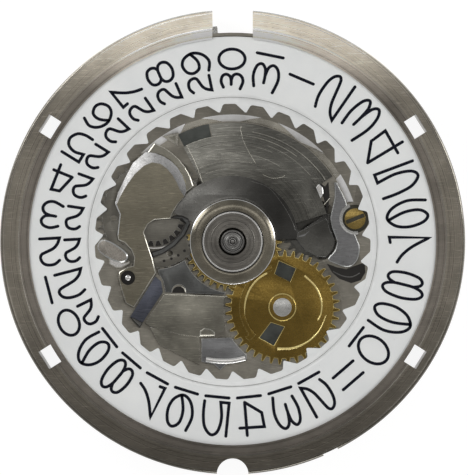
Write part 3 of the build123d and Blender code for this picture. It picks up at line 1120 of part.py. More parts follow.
# Keyless works on the stem line
with BuildPart() as winding_pinion:
    turned = (0, sin(radians(WINDING_TURN)), -cos(radians(WINDING_TURN)))
    pinion_end = Plane(origin=(WINDING_X - WINDING_HALF, 0, STEM_Z), x_dir=turned, z_dir=(1, 0, 0))
    with BuildSketch(pinion_end) as drawn:
        with BuildLine():
            Polyline(*tooth_points(WINDING_PINION_TEETH, WINDING_MODULE), close=True)
        make_face()
        Circle(STEM_R, mode=Mode.SUBTRACT)
    extrude(drawn.sketch, amount=2 * WINDING_HALF)
keep(winding_pinion, "winding_pinion")

with BuildPart() as sliding_pinion:
    with Locations(Plane(origin=(SLIDING_X, 0, STEM_Z), z_dir=(1, 0, 0))):
        Cylinder(SLIDING_R, SLIDING_LENGTH, align=(Align.CENTER, Align.CENTER, Align.MIN))
        Cylinder(SLIDING_TOOTH_R, SLIDING_TOOTH, align=(Align.CENTER, Align.CENTER, Align.MIN))
    with Locations(Plane(origin=(SLIDING_X, 0, STEM_Z), z_dir=(1, 0, 0))):
        Cylinder(STEM_R, SLIDING_LENGTH, align=(Align.CENTER, Align.CENTER, Align.MIN), mode=Mode.SUBTRACT)
    groove_plane = Plane(origin=(SLIDING_X + SLIDING_LENGTH / 2, 0, STEM_Z), z_dir=(1, 0, 0))
    with BuildSketch(groove_plane) as drawn:
        Circle(SLIDING_R)
        Circle(SLIDING_R - SLIDING_GROOVE, mode=Mode.SUBTRACT)
    extrude(drawn.sketch, amount=SLIDING_GROOVE, both=True, mode=Mode.SUBTRACT)
keep(sliding_pinion, "sliding_pinion")

# Motion work under the hands
with BuildPart() as plate_posts:
    add_tube(CENTRE, SECONDS_SEAT_R + 2 * FIT, TUBE_R, TRAIN_TOP_Z, MINUTE_SEAT_TOP - WALL_PLAY)
    for at, z in (
        (MINUTE, MOTION_FLOOR_Z),
        (SETTING, MOTION_FLOOR_Z),
        (DATE, DATE_GEAR_Z - PLAY),
        (INTERMEDIATE, DATE_GEAR_Z - PLAY),
    ):
        add_disc(at, POST_R, z - POST_SINK, LAND_Z)
    add_disc(DATE, POST_R, LAND_Z, FINGER_TOP_Z + PLAY)
    add_disc(DATE, POST_HEAD_R, FINGER_TOP_Z, FINGER_TOP_Z + STEEL_THICK / 2)
    add_disc(STOP_PIN, PIN_HEAD_R, LAND_Z - POST_SINK, STEP_TOP_Z)
keep(plate_posts, "plate_posts")

with BuildPart() as cannon_pinion:
    add_gear(CENTRE, CANNON_Z, CANNON_THICK, CANNON_TEETH, CANNON_MODULE, CANNON_TURN)
    add_disc(CENTRE, MINUTE_PIPE_R, CANNON_Z, HOUR_SEAT_TOP)
    add_disc(CENTRE, MINUTE_SEAT_R, HOUR_SEAT_TOP, MINUTE_SEAT_TOP)
    add_disc(CENTRE, TUBE_R + FIT, CANNON_Z, MINUTE_SEAT_TOP, Mode.SUBTRACT)
keep(cannon_pinion, "cannon_pinion")

with BuildPart() as minute_wheel:
    add_gear(MINUTE, CANNON_Z, CANNON_THICK, MINUTE_TEETH, CANNON_MODULE)
    add_gear(MINUTE, CANNON_Z, HOUR_Z + HOUR_THICK + PLAY - CANNON_Z, MINUTE_PINION_TEETH, HOUR_MODULE)
    add_disc(MINUTE, POST_R + FIT, CANNON_Z, LAND_Z, Mode.SUBTRACT)
keep(minute_wheel, "minute_wheel")

with BuildPart() as setting_wheel:
    add_gear(SETTING, CANNON_Z, CANNON_THICK, SETTING_TEETH, CANNON_MODULE, SETTING_TURN)
    add_disc(SETTING, POST_R + FIT, CANNON_Z, LAND_Z, Mode.SUBTRACT)
keep(setting_wheel, "setting_wheel")

with BuildPart() as hour_wheel:
    add_gear(CENTRE, HOUR_Z, HOUR_THICK, HOUR_TEETH, HOUR_MODULE, HOUR_TURN)
    add_gear(CENTRE, HOUR_Z, DATE_GEAR_Z + DATE_GEAR_THICK - HOUR_Z, HOUR_SMALL_TEETH, DATE_MODULE)
    add_disc(CENTRE, HUB_R, HOUR_Z, DOME_Z)
    with Locations((0, 0, DOME_Z)):
        Cone(
            DISC_BORE_R - FIT, HOUR_SEAT_R, HOUR_SEAT_FOOT - DOME_Z,
            align=(Align.CENTER, Align.CENTER, Align.MIN),
        )
    add_disc(CENTRE, HOUR_SEAT_R, HOUR_SEAT_FOOT, HOUR_SEAT_TOP)
    add_disc(CENTRE, MINUTE_PIPE_R + FIT, HOUR_Z, HOUR_SEAT_TOP, Mode.SUBTRACT)
keep(hour_wheel, "hour_wheel")

# The steel dish and disc that turn with the hour wheel
with BuildPart() as centre_dome:
    with BuildSketch(Plane.XZ):
        with BuildLine():
            Polyline(
                (DISC_BORE_R, DOME_Z),
                (DOME_R, DOME_Z),
                (DOME_R, DOME_Z + DOME_STEP),
                (DISC_R + CLEAR, DISC_Z + DOME_STEP),
                (DISC_R + CLEAR / 2, DISC_Z),
                (DISC_BORE_R, DISC_Z),
                close=True,
            )
        make_face()
    revolve(axis=Axis.Z)
keep(centre_dome, "centre_dome")

with BuildPart() as centre_disc:
    add_tube(CENTRE, DISC_BORE_R, DISC_R, DISC_Z, DISC_TOP_Z)
keep(centre_disc, "centre_disc")

# Calendar wheels
with BuildPart() as date_driving_wheel:
    date_top = DATE_GEAR_Z + DATE_GEAR_THICK
    add_gear(DATE, DATE_GEAR_Z, DATE_GEAR_THICK, DATE_TEETH, DATE_MODULE, DATE_TURN)
    add_disc(DATE, HUB_BEVEL_R, DATE_GEAR_Z, LAND_Z + PLAY)
    for window in (
        [(-0.21, 2.93), (0.85, 2.45), (0.49, 1.61), (-0.49, 2.09)],
        [(-0.73, -0.97), (0.12, -1.24), (-0.54, -2.42), (-1.45, -1.93)],
    ):
        add_outline([(DATE[0] + x, DATE[1] + y) for x, y in window], DATE_GEAR_Z, date_top, Mode.SUBTRACT)
    add_disc(DATE, POST_R + FIT, DATE_GEAR_Z, LAND_Z + PLAY, Mode.SUBTRACT)
keep(date_driving_wheel, "date_driving_wheel")

# The sprung finger that steps the date ring: an arc on the wheel with a hooked end
with BuildPart() as date_finger:
    add_sector(DATE, FINGER_IN_R, FINGER_OUT_R, FINGER_START, FINGER_END, date_top, FINGER_TOP_Z)
    add_box(
        polar((FINGER_OUT_R + FINGER_REACH) / 2, FINGER_END - 4, DATE),
        FINGER_REACH - FINGER_OUT_R + CLEAR, FINGER_WIDTH, date_top, FINGER_TOP_Z, FINGER_END - 4,
    )
keep(date_finger, "date_finger")

with BuildPart() as intermediate_wheel:
    rim_top = DATE_GEAR_Z + 2 * DATE_GEAR_THICK / 3
    add_gear(
        INTERMEDIATE, DATE_GEAR_Z, DATE_GEAR_THICK / 2, INTERMEDIATE_TEETH, DATE_MODULE,
        INTERMEDIATE_TURN,
    )
    add_disc(INTERMEDIATE, INTERMEDIATE_RIM_R, DATE_GEAR_Z, rim_top)
    add_gear(INTERMEDIATE, DATE_GEAR_Z, DATE_GEAR_THICK, INNER_TEETH, INNER_MODULE)
    for n in range(10):
        add_disc(
            polar(HOLE_BAND_R, n * 36 - 68, INTERMEDIATE), HOLE_BAND_HOLE_R, DATE_GEAR_Z, date_top,
            Mode.SUBTRACT,
        )
    add_disc(INTERMEDIATE, POST_R + FIT, DATE_GEAR_Z, STEEL_TOP_Z, Mode.SUBTRACT)
keep(intermediate_wheel, "intermediate_wheel")

# Date ring: a flat band with a sloping inner flange and pointed inner teeth
with BuildPart() as date_ring:
    with BuildSketch(Plane.XZ):
        with BuildLine():
            Polyline(
                (RING_OUT_R, RING_TOP_Z - RING_FLANGE),
                (RING_OUT_R, RING_TOP_Z),
                (RING_SLOPE_OUT_R, RING_TOP_Z),
                (RING_SLOPE_IN_R, RING_TOOTH_TOP_Z),
                (RING_SLOPE_IN_R, TOOTH_Z),
                (CHANNEL_R - CLEAR, TOOTH_Z),
                (CHANNEL_R - CLEAR, RING_TOP_Z - RING_FLANGE),
                close=True,
            )
        make_face()
    revolve(axis=Axis.Z)
    add_disc(CENTRE, RING_SLOPE_IN_R, TOOTH_Z, RING_TOOTH_TOP_Z)
    with BuildSketch(level(TOOTH_Z)) as opening:
        with BuildLine():
            Polyline(*ring_tooth_points(), close=True)
        make_face()
        middle_r = (TOOTH_TIP_R + TOOTH_ROOT_R) / 2
        fillet(
            [corner for corner in opening.vertices() if hypot(corner.X, corner.Y) > middle_r],
            TOOTH_ROOT_FILLET,
        )
    extrude(opening.sketch, amount=RING_TOOTH_TOP_Z - TOOTH_Z, mode=Mode.SUBTRACT)
keep(date_ring, "date_ring")

# Upper calendar plate: a turned sector with a stepped outer band and a thin guard over the wheels
with BuildPart() as upper_calendar_plate:
    add_sector(CENTRE, CENTRE_RECESS_R, SHOULDER_R, UPPER_RIGHT, UPPER_LEFT, LAND_Z, STEEL_TOP_Z)
    add_sector(CENTRE, SHOULDER_R, CALENDAR_STEP_R, UPPER_SHOULDER, UPPER_LEFT, LAND_Z, STEEL_TOP_Z)
    add_sector(CENTRE, CALENDAR_STEP_R, CALENDAR_OUT_R, UPPER_SHOULDER, WINDOW_END, LAND_Z, STEP_TOP_Z)
    add_sector(CENTRE, GUARD_IN_R, CENTRE_RECESS_R, UPPER_RIGHT - 14, GUARD_END, LAND_Z, GUARD_TOP_Z)
    add_outline(
        [(4.12, 0.55), (5.94, 1.76), (6.0, 1.35), (6.14, 0.84), (6.42, 0.2), (6.48, -0.06),
         (6.38, -0.5), (5.92, -1.02), (5.3, -0.96), (4.6, -0.6), (4.2, -0.12), (4.0, 0.2)],
        LAND_Z, GUARD_TOP_Z,
    )
keep(upper_calendar_plate, "upper_calendar_plate")

# Side calendar plate: a fan with a long arm, a leaf-shaped opening and a lower step along its curve
with BuildPart() as side_calendar_plate:
    with BuildSketch(level(LAND_Z)) as drawn:
        with BuildLine():
            ThreePointArc((-5.50, 5.68), (-3.66, 4.89), (-2.91, 3.05))
            Polyline(
                (-2.91, 3.05), (-3.7, 1.66), (-3.2, 1.66), (-2.8, 1.46), (-2.64, 1.12), (-2.97, 0.42),
                (-3.62, -0.3), (-4.35, -0.78), (-5.08, -1.02), (-4.84, -1.96), (-6.25, -4.22),
                (-6.8, -3.9), (-7.0, -3.2), (-7.24, -2.3), (-7.2, -1.92), (-6.62, -1.56), (-6.24, -1.5),
                (-6.2, -0.98), (-6.39, -0.52), (-6.83, -0.08), (-7.25, 0.09), (-7.29, 0.4),
                (-7.14, 1.72), (-7.44, 2.4), (-7.26, 3.07), (-6.88, 3.88), (-6.3, 4.98), (-5.5, 5.68),
            )
        make_face()
        fillet(drawn.vertices(), PLATE_CORNER)
        with BuildLine():
            Polyline(
                (-5.6, 0.6), (-5.36, 1.08), (-4.93, 1.37), (-3.91, 1.4), (-3.24, 1.42), (-3.0, 1.14),
                (-3.3, 0.53), (-3.91, -0.07), (-4.51, -0.43), (-5.18, -0.66), (-5.33, -0.25), close=True,
            )
        make_face(mode=Mode.SUBTRACT)
        with Locations(STOP_PIN):
            Circle(STOP_HOLE_R, mode=Mode.SUBTRACT)
    extrude(drawn.sketch, amount=STEEL_THICK)
    with BuildSketch(level(LAND_Z)) as stepped:
        with BuildLine():
            ThreePointArc((-4.95, 6.25), (-3.38, 5.22), (-2.45, 3.52))
            Polyline((-2.45, 3.52), (-3.1, 3.0), (-5.4, 5.4), (-4.95, 6.25))
        make_face()
    extrude(stepped.sketch, amount=THIN_TOP_Z - LAND_Z)
    add_sector(
        CENTRE, GUARD_IN_R - CLEAR, CENTRE_RECESS_R + FIT, UPPER_LEFT, GUARD_END + 1, LAND_Z,
        STEEL_TOP_Z, Mode.SUBTRACT
    )
keep(side_calendar_plate, "side_calendar_plate")

# Lower calendar plate: a thin sheet between the wheels
with BuildPart() as lower_calendar_plate:
    add_outline(
        [(-4.72, -1.4), (-2.6, 0.2), (-0.2, -2.8), (0.0, -3.38), (-4.26, -3.2), (-4.4, -2.5),
         (-4.68, -2.0)],
        LAND_Z, THIN_TOP_Z,
    )
    add_disc(INTERMEDIATE, INTERMEDIATE_RIM_R + CLEAR, LAND_Z, THIN_TOP_Z, Mode.SUBTRACT)
    add_disc(CENTRE, tip_r(HOUR_TEETH, HOUR_MODULE) + CLEAR, LAND_Z, THIN_TOP_Z, Mode.SUBTRACT)
    add_disc(DATE, tip_r(DATE_TEETH, DATE_MODULE) + CLEAR, LAND_Z, THIN_TOP_Z, Mode.SUBTRACT)
    add_disc((-3.4, -3.14), 0.43, LAND_Z, THIN_TOP_Z, Mode.SUBTRACT)
keep(lower_calendar_plate, "lower_calendar_plate")

# Jumper plate: a flat cover with a lower step towards the ring
with BuildPart() as jumper_plate:
    add_outline(
        [(-4.3, -3.28), (0.0, -3.45), (-0.6, -5.7), (-1.1, -5.75), (-1.1, -5.98), (-2.12, -6.02),
         (-3.26, -5.89), (-5.23, -5.35), (-5.53, -5.12)],
        LAND_Z, STEEL_TOP_Z,
    )
    add_outline(
        [(-5.23, -5.4), (-3.26, -5.8), (-2.12, -5.95), (-2.1, -7.78), (-4.65, -6.53)],
        LAND_Z, THIN_TOP_Z,
    )
    add_disc(DATE, tip_r(DATE_TEETH, DATE_MODULE) + CLEAR, LAND_Z, STEEL_TOP_Z, Mode.SUBTRACT)
keep(jumper_plate, "jumper_plate")

with BuildPart() as jumper_spring:
    add_outline(
        [(-4.9, -2.16), (-4.5, -2.52), (-4.4, -3.2), (-5.64, -5.06), (-5.86, -5.46), (-6.5, -4.76)],
        LAND_Z, STEP_TOP_Z,
    )
keep(jumper_spring, "jumper_spring")

# Date jumper: a block with a V nose that rests between two teeth of the date ring
with BuildPart() as date_jumper:
    add_outline(
        [(-1.98, -6.12), (-0.11, -6.05), (0.81, -6.78), (0.93, -7.45), (-0.4, -7.78),
         polar(JUMPER_NOSE_R, JUMPER_ANGLE), (-1.15, -7.78), (-1.98, -7.6)],
        LAND_Z, STEP_TOP_Z,
    )
    add_disc(DATE, tip_r(DATE_TEETH, DATE_MODULE) + CLEAR, LAND_Z, STEP_TOP_Z, Mode.SUBTRACT)
    add_disc(JUMPER_PIVOT, PIVOT_PIN_R, LAND_Z - POST_SINK, LAND_Z)
keep(date_jumper, "date_jumper")

# Setting lever around the head of its brass screw
with BuildPart() as setting_lever:
    with BuildSketch(level(LAND_Z)) as drawn:
        with BuildLine():
            Polyline(
                (6.42, 3.76), (6.6, 3.78), (7.22, 2.45), (7.4, 1.45), (7.83, 0.27), (8.06, -0.3),
                (8.0, -0.9), (7.86, -1.22), (7.58, -1.52), (7.16, -1.6), (6.64, -1.44), (6.0, -1.12),
                (6.46, -0.6), (6.62, -0.06), (6.56, 0.22), (6.3, 0.86), (6.18, 1.45), (6.24, 1.85),
                (6.48, 2.85), close=True,
            )
        make_face()
        with Locations(LEVER_SCREW):
            Circle(LEVER_COLLAR_R, mode=Mode.SUBTRACT)
    extrude(drawn.sketch, amount=STEEL_THICK)
    add_disc(LEVER_PIVOT, PIVOT_PIN_R, LAND_Z - POST_SINK, LAND_Z)
keep(setting_lever, "setting_lever")

with BuildPart() as setting_lever_screw:
    head_z = LAND_Z - LEVER_HEAD
    add_screw(LEVER_SCREW, LEVER_SCREW_R, SCREW_SHAFT_R, head_z, LEVER_HEAD, head_z - POST_SINK, 18)
keep(setting_lever_screw, "setting_lever_screw")

# Date corrector: a rounded lever on its own pin, whose thin tail lies under the ring's teeth
with BuildPart() as date_corrector:
    add_outline(
        [(-8.04, -0.62), (-8.05, 0.3), (-7.53, 0.02), (-6.95, -0.22), (-6.55, -0.62), (-6.38, -0.98),
         (-6.44, -1.36), (-6.7, -1.42), (-7.29, -1.72), (-7.84, -1.46), (-7.84, -1.04)],
        LAND_Z, STEEL_TOP_Z,
    )
    add_outline([(-8.04, -0.62), (-8.55, -0.5), (-8.5, 0.2), (-8.05, 0.3)], LAND_Z, TAIL_TOP_Z)
    add_disc(CORRECTOR_PIVOT, PIVOT_PIN_R, LAND_Z - POST_SINK, LAND_Z)
keep(date_corrector, "date_corrector")
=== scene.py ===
"""Looks of a mechanical watch movement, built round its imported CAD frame.

Lengths are in millimetres until a mesh is written, as in the CAD source, and MM turns them into metres.
Every piece sits where its CAD node sits: the movement's axis is the origin and +Z is the dial side.
"""

import json
import math

import bmesh
import bpy
from mathutils import Matrix, Vector


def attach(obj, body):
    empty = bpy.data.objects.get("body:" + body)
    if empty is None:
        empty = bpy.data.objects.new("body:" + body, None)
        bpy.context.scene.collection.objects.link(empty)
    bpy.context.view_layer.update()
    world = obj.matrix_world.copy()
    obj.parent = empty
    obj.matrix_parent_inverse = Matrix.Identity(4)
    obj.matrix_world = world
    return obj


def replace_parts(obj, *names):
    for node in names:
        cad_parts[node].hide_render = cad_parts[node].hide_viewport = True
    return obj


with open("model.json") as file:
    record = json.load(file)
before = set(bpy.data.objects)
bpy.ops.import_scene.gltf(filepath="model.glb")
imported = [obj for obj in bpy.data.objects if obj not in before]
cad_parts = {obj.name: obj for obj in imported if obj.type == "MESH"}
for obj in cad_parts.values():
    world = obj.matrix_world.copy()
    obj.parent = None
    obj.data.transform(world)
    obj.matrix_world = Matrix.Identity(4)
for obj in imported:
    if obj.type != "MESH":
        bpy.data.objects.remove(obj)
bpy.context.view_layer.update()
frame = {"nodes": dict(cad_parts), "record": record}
MM = 0.001

# The body that each CAD node belongs to
BEHAVIOUR = frame["record"]["behaviour"]
BODY_OF = {node: body for body, nodes in BEHAVIOUR["bodies"].items() for node in nodes}

# Casing ring
RING_R = 14.70
RING_BORE_R = 13.30
RING_LIP_R = 12.87
RING_TOP_Z = 5.96
LIP_Z = 5.78
BAND_IN_R = 13.50
BAND_OUT_R = 14.44
RIM_STEP = 0.05
SLOT_R = 13.65
SLOT_DEPTH = 0.90
SLOT_WIDTH = 1.29
SLOT_ANGLE = 32.2
GAP_WIDTH = 2.56
NOTCH_R = 1.00
STEP_ANGLE = -65.0
STEP_DEPTH = 0.44
STEM_Z = 3.60
STEM_WINDOW_R = 1.10

# Date ring and its numerals
DATES = 31
DATE_TOP_Z = 5.74
DATE_PITCH = 360 / DATES
SEVEN_ANGLE = -2.7
NUMERAL_HEIGHT = 1.60
STROKE = 0.190
INK = 0.012
SINGLE_SPAN = (9.88, 12.45)
ONES_SPAN = (10.18, 12.28)
TEN_BAR_R = 9.86
ELEVEN_BARS = (10.68, 11.66)
TWENTY_SPAN = (9.66, 10.60)
LAST_SPAN = (10.92, 12.18)
WIDE_SPAN = (9.72, 11.42)
LAST_BAR_R = 12.02
ELEVEN_HEIGHT = NUMERAL_HEIGHT * 1.04
TEN_BAR_HEIGHT = NUMERAL_HEIGHT * 0.92
ONES_HEIGHT = NUMERAL_HEIGHT * 0.97
LAST_BAR_HEIGHT = NUMERAL_HEIGHT * 1.05
TWENTY_HEIGHT = NUMERAL_HEIGHT * 0.86
LAST_HEIGHT = NUMERAL_HEIGHT * 1.04
FLANGE_IN_R = 8.80
FLANGE_OUT_R = 9.42
DATE_LINE_R = 9.12

# Dial side: heights of its steps and wheels, the groove's radius, and places of its pin and screw
LAND_Z = 5.28
GROOVE_FLOOR_Z = 5.08
GROOVE_R = 8.05
STEEL_TOP_Z = 5.50
STEP_TOP_Z = 5.44
COVER_Z = 5.375
GUARD_TOP_Z = 5.36
SHEET_Z = 5.21
DATE_WHEEL_Z = 5.25
DATE_FLOOR_Z = 5.10
STOP_PIN = (-6.62, -2.28)
LEVER_SCREW = (7.75, 1.45)

# Photograph: its size and the movement's place in it, in pixels, and the length of a pixel
PHOTO_W = 468
PHOTO_H = 475
AXIS_X = 232.6
AXIS_Y = 241.7
PIXEL = 0.0632
CAMERA_Z = 560.0


def polar(r, degrees, centre=(0.0, 0.0)):
    angle = math.radians(degrees)
    return (centre[0] + r * math.cos(angle), centre[1] + r * math.sin(angle))


DATE_WHEEL_AT = polar(5.21, -52.8)
INTERMEDIATE_AT = polar(5.21, 161.6)


# Materials

class Shader:
    """One material's node tree, with short names for the nodes that these finishes share."""

    def __init__(self, name):
        self.material = bpy.data.materials.new(name)
        self.material.use_nodes = True
        self.tree = self.material.node_tree
        self.surface = self.tree.nodes["Principled BSDF"]

    def node(self, kind, **values):
        made = self.tree.nodes.new(kind)
        for name, value in values.items():
            setattr(made, name, value)
        return made

    def link(self, a, b):
        self.tree.links.new(a, b)

    def feed(self, socket, value):
        """Gives an input a number, a colour or the output of another node."""
        if isinstance(value, bpy.types.NodeSocket):
            self.link(value, socket)
        else:
            socket.default_value = (*value, 1) if isinstance(value, tuple) else value

    def coat(self, name, value):
        self.feed(self.surface.inputs[name], value)

    def math(self, operation, a, b=0.0):
        made = self.node("ShaderNodeMath", operation=operation)
        for socket, value in zip(made.inputs, (a, b)):
            self.feed(socket, value)
        return made.outputs[0]

    def place(self):
        """Object coordinates in millimetres."""
        scale = self.node("ShaderNodeVectorMath", operation="SCALE")
        scale.inputs["Scale"].default_value = 1 / MM
        self.link(self.node("ShaderNodeTexCoord").outputs["Object"], scale.inputs[0])
        return scale.outputs[0]

    def noise(self, vector, scale, detail=4.0, rough=0.55, stretch=None):
        made = self.node("ShaderNodeTexNoise")
        made.inputs["Scale"].default_value = scale
        made.inputs["Detail"].default_value = detail
        made.inputs["Roughness"].default_value = rough
        if stretch:
            turn = self.node("ShaderNodeMapping")
            turn.inputs["Rotation"].default_value = (0, 0, math.radians(stretch[0]))
            turn.inputs["Scale"].default_value = (1, stretch[1], 1)
            self.link(vector, turn.inputs[0])
            vector = turn.outputs[0]
        self.link(vector, made.inputs["Vector"])
        return made.outputs[0]

    def lathe_lines(self, vector, pitch):
        """Fine concentric tool marks about the movement's axis."""
        flat = self.node("ShaderNodeVectorMath", operation="MULTIPLY")
        flat.inputs[1].default_value = (1, 1, 0)
        self.link(vector, flat.inputs[0])
        length = self.node("ShaderNodeVectorMath", operation="LENGTH")
        self.link(flat.outputs[0], length.inputs[0])
        made = self.node("ShaderNodeTexNoise", noise_dimensions="1D")
        made.inputs["Scale"].default_value = 1 / pitch
        made.inputs["Detail"].default_value = 3.0
        self.link(length.outputs["Value"], made.inputs["W"])
        return made.outputs[0]

    def ramp(self, value, low, high, low_at=0.3, high_at=0.7):
        made = self.node("ShaderNodeValToRGB")
        for stop, shade, at in zip(made.color_ramp.elements, (low, high), (low_at, high_at)):
            stop.position = at
            stop.color = (*shade, 1) if isinstance(shade, tuple) else (shade, shade, shade, 1)
        self.link(value, made.inputs[0])
        return made.outputs[0]

    def mix(self, a, b, share, blend="MIX"):
        made = self.node("ShaderNodeMix", data_type="RGBA", blend_type=blend)
        for at, value in ((6, a), (7, b), (0, share)):
            self.feed(made.inputs[at], value)
        return made.outputs[2]

    def spread(self, vector, axis, low, high):
        """0 to 1 along one axis of the place, between two distances in millimetres."""
        split = self.node("ShaderNodeSeparateXYZ")
        self.link(vector, split.inputs[0])
        made = self.node("ShaderNodeMapRange", interpolation_type="SMOOTHSTEP")
        made.inputs["From Min"].default_value = low
        made.inputs["From Max"].default_value = high
        self.link(split.outputs[axis], made.inputs["Value"])
        return made.outputs[0]

    def bump(self, height, strength, distance):
        made = self.node("ShaderNodeBump")
        made.inputs["Strength"].default_value = strength
        made.inputs["Distance"].default_value = distance * MM
        self.link(height, made.inputs["Height"])
        self.link(made.outputs[0], self.surface.inputs["Normal"])


def tinted(colour, factor):
    return tuple(min(1.0, channel * factor) for channel in colour)


def metal(name, colour, rough, turned=0.0, grain=None, scratches=0.5, stain=0.35, relief=0.5, light_and_tone_ramps=()):
    """A worn metal: turned at a pitch, grained along an angle, or neither, with stains and scratches.

    Each ramp (axis, low, high, factor) multiplies the colour by factor from low to high along the axis. On
    the casing ring and the fan's slopes these ramps are painted highlight and painted shade; elsewhere they
    make a part lighter or darker towards one side.
    """
    shader = Shader(name)
    place = shader.place()
    cloudy = shader.noise(place, 0.45, 5.0, 0.6)
    base = shader.ramp(cloudy, tinted(colour, 1 - stain), tinted(colour, 1 + stain), 0.32, 0.68)
    marks = shader.noise(place, 9.0, 6.0, 0.7)
    if turned:
        marks = shader.lathe_lines(place, turned)
        base = shader.mix(base, shader.ramp(marks, tinted(colour, 0.55), tinted(colour, 1.5)), 0.45)
    elif grain is not None:
        marks = shader.noise(place, 1.6, 5.0, 0.65, (grain, 16.0))
        base = shader.mix(base, shader.ramp(marks, tinted(colour, 0.6), tinted(colour, 1.45)), 0.40)
    for angle, density in ((34.0, 1.1), (-58.0, 0.8), (8.0, 1.5)):
        line = shader.noise(place, density, 2.0, 0.5, (angle, 38.0))
        line = shader.ramp(line, 0.0, scratches, 0.66, 0.70)
        base = shader.mix(base, tinted(colour, 2.6), line)
    for axis, low, high, factor in light_and_tone_ramps:
        base = shader.mix(base, (factor,) * 3, shader.spread(place, axis, low, high), "MULTIPLY")
    shader.coat("Base Color", base)
    shader.coat("Roughness", shader.ramp(marks, max(0.05, rough - 0.10), rough + 0.12))
    shader.coat("Metallic", 1.0)
    shader.bump(marks, relief, 0.006)
    return shader.material


def plain(name, colour, rough, metallic=0.0, gloss=0.5):
    shader = Shader(name)
    soft = shader.noise(shader.place(), 1.3, 4.0, 0.5)
    shader.coat("Base Color", shader.ramp(soft, tinted(colour, 0.93), tinted(colour, 1.05)))
    shader.coat("Roughness", rough)
    shader.coat("Metallic", metallic)
    shader.coat("Specular IOR Level", gloss)
    return shader.material


def date_paint():
    """Matt off-white print ground, a little greyer in soft random patches and with faint handling marks."""
    shader = Shader("date_paint")
    place = shader.place()
    cloudy = shader.noise(place, 0.35, 4.0, 0.55)
    base = shader.ramp(cloudy, (0.85, 0.865, 0.86), (0.92, 0.93, 0.915))
    speck = shader.ramp(shader.noise(place, 7.0, 3.0, 0.6), 0.0, 0.55, 0.74, 0.78)
    base = shader.mix(base, (0.42, 0.42, 0.40), speck)
    shader.coat("Base Color", base)
    shader.coat("Roughness", 0.42)
    shader.bump(shader.noise(place, 14.0, 3.0, 0.6), 0.25, 0.004)
    return shader.material


def ruby():
    shader = Shader("ruby_stone")
    shader.coat("Base Color", (0.62, 0.03, 0.12))
    shader.coat("Roughness", 0.08)
    shader.coat("Transmission Weight", 0.45)
    shader.coat("IOR", 1.77)
    return shader.material
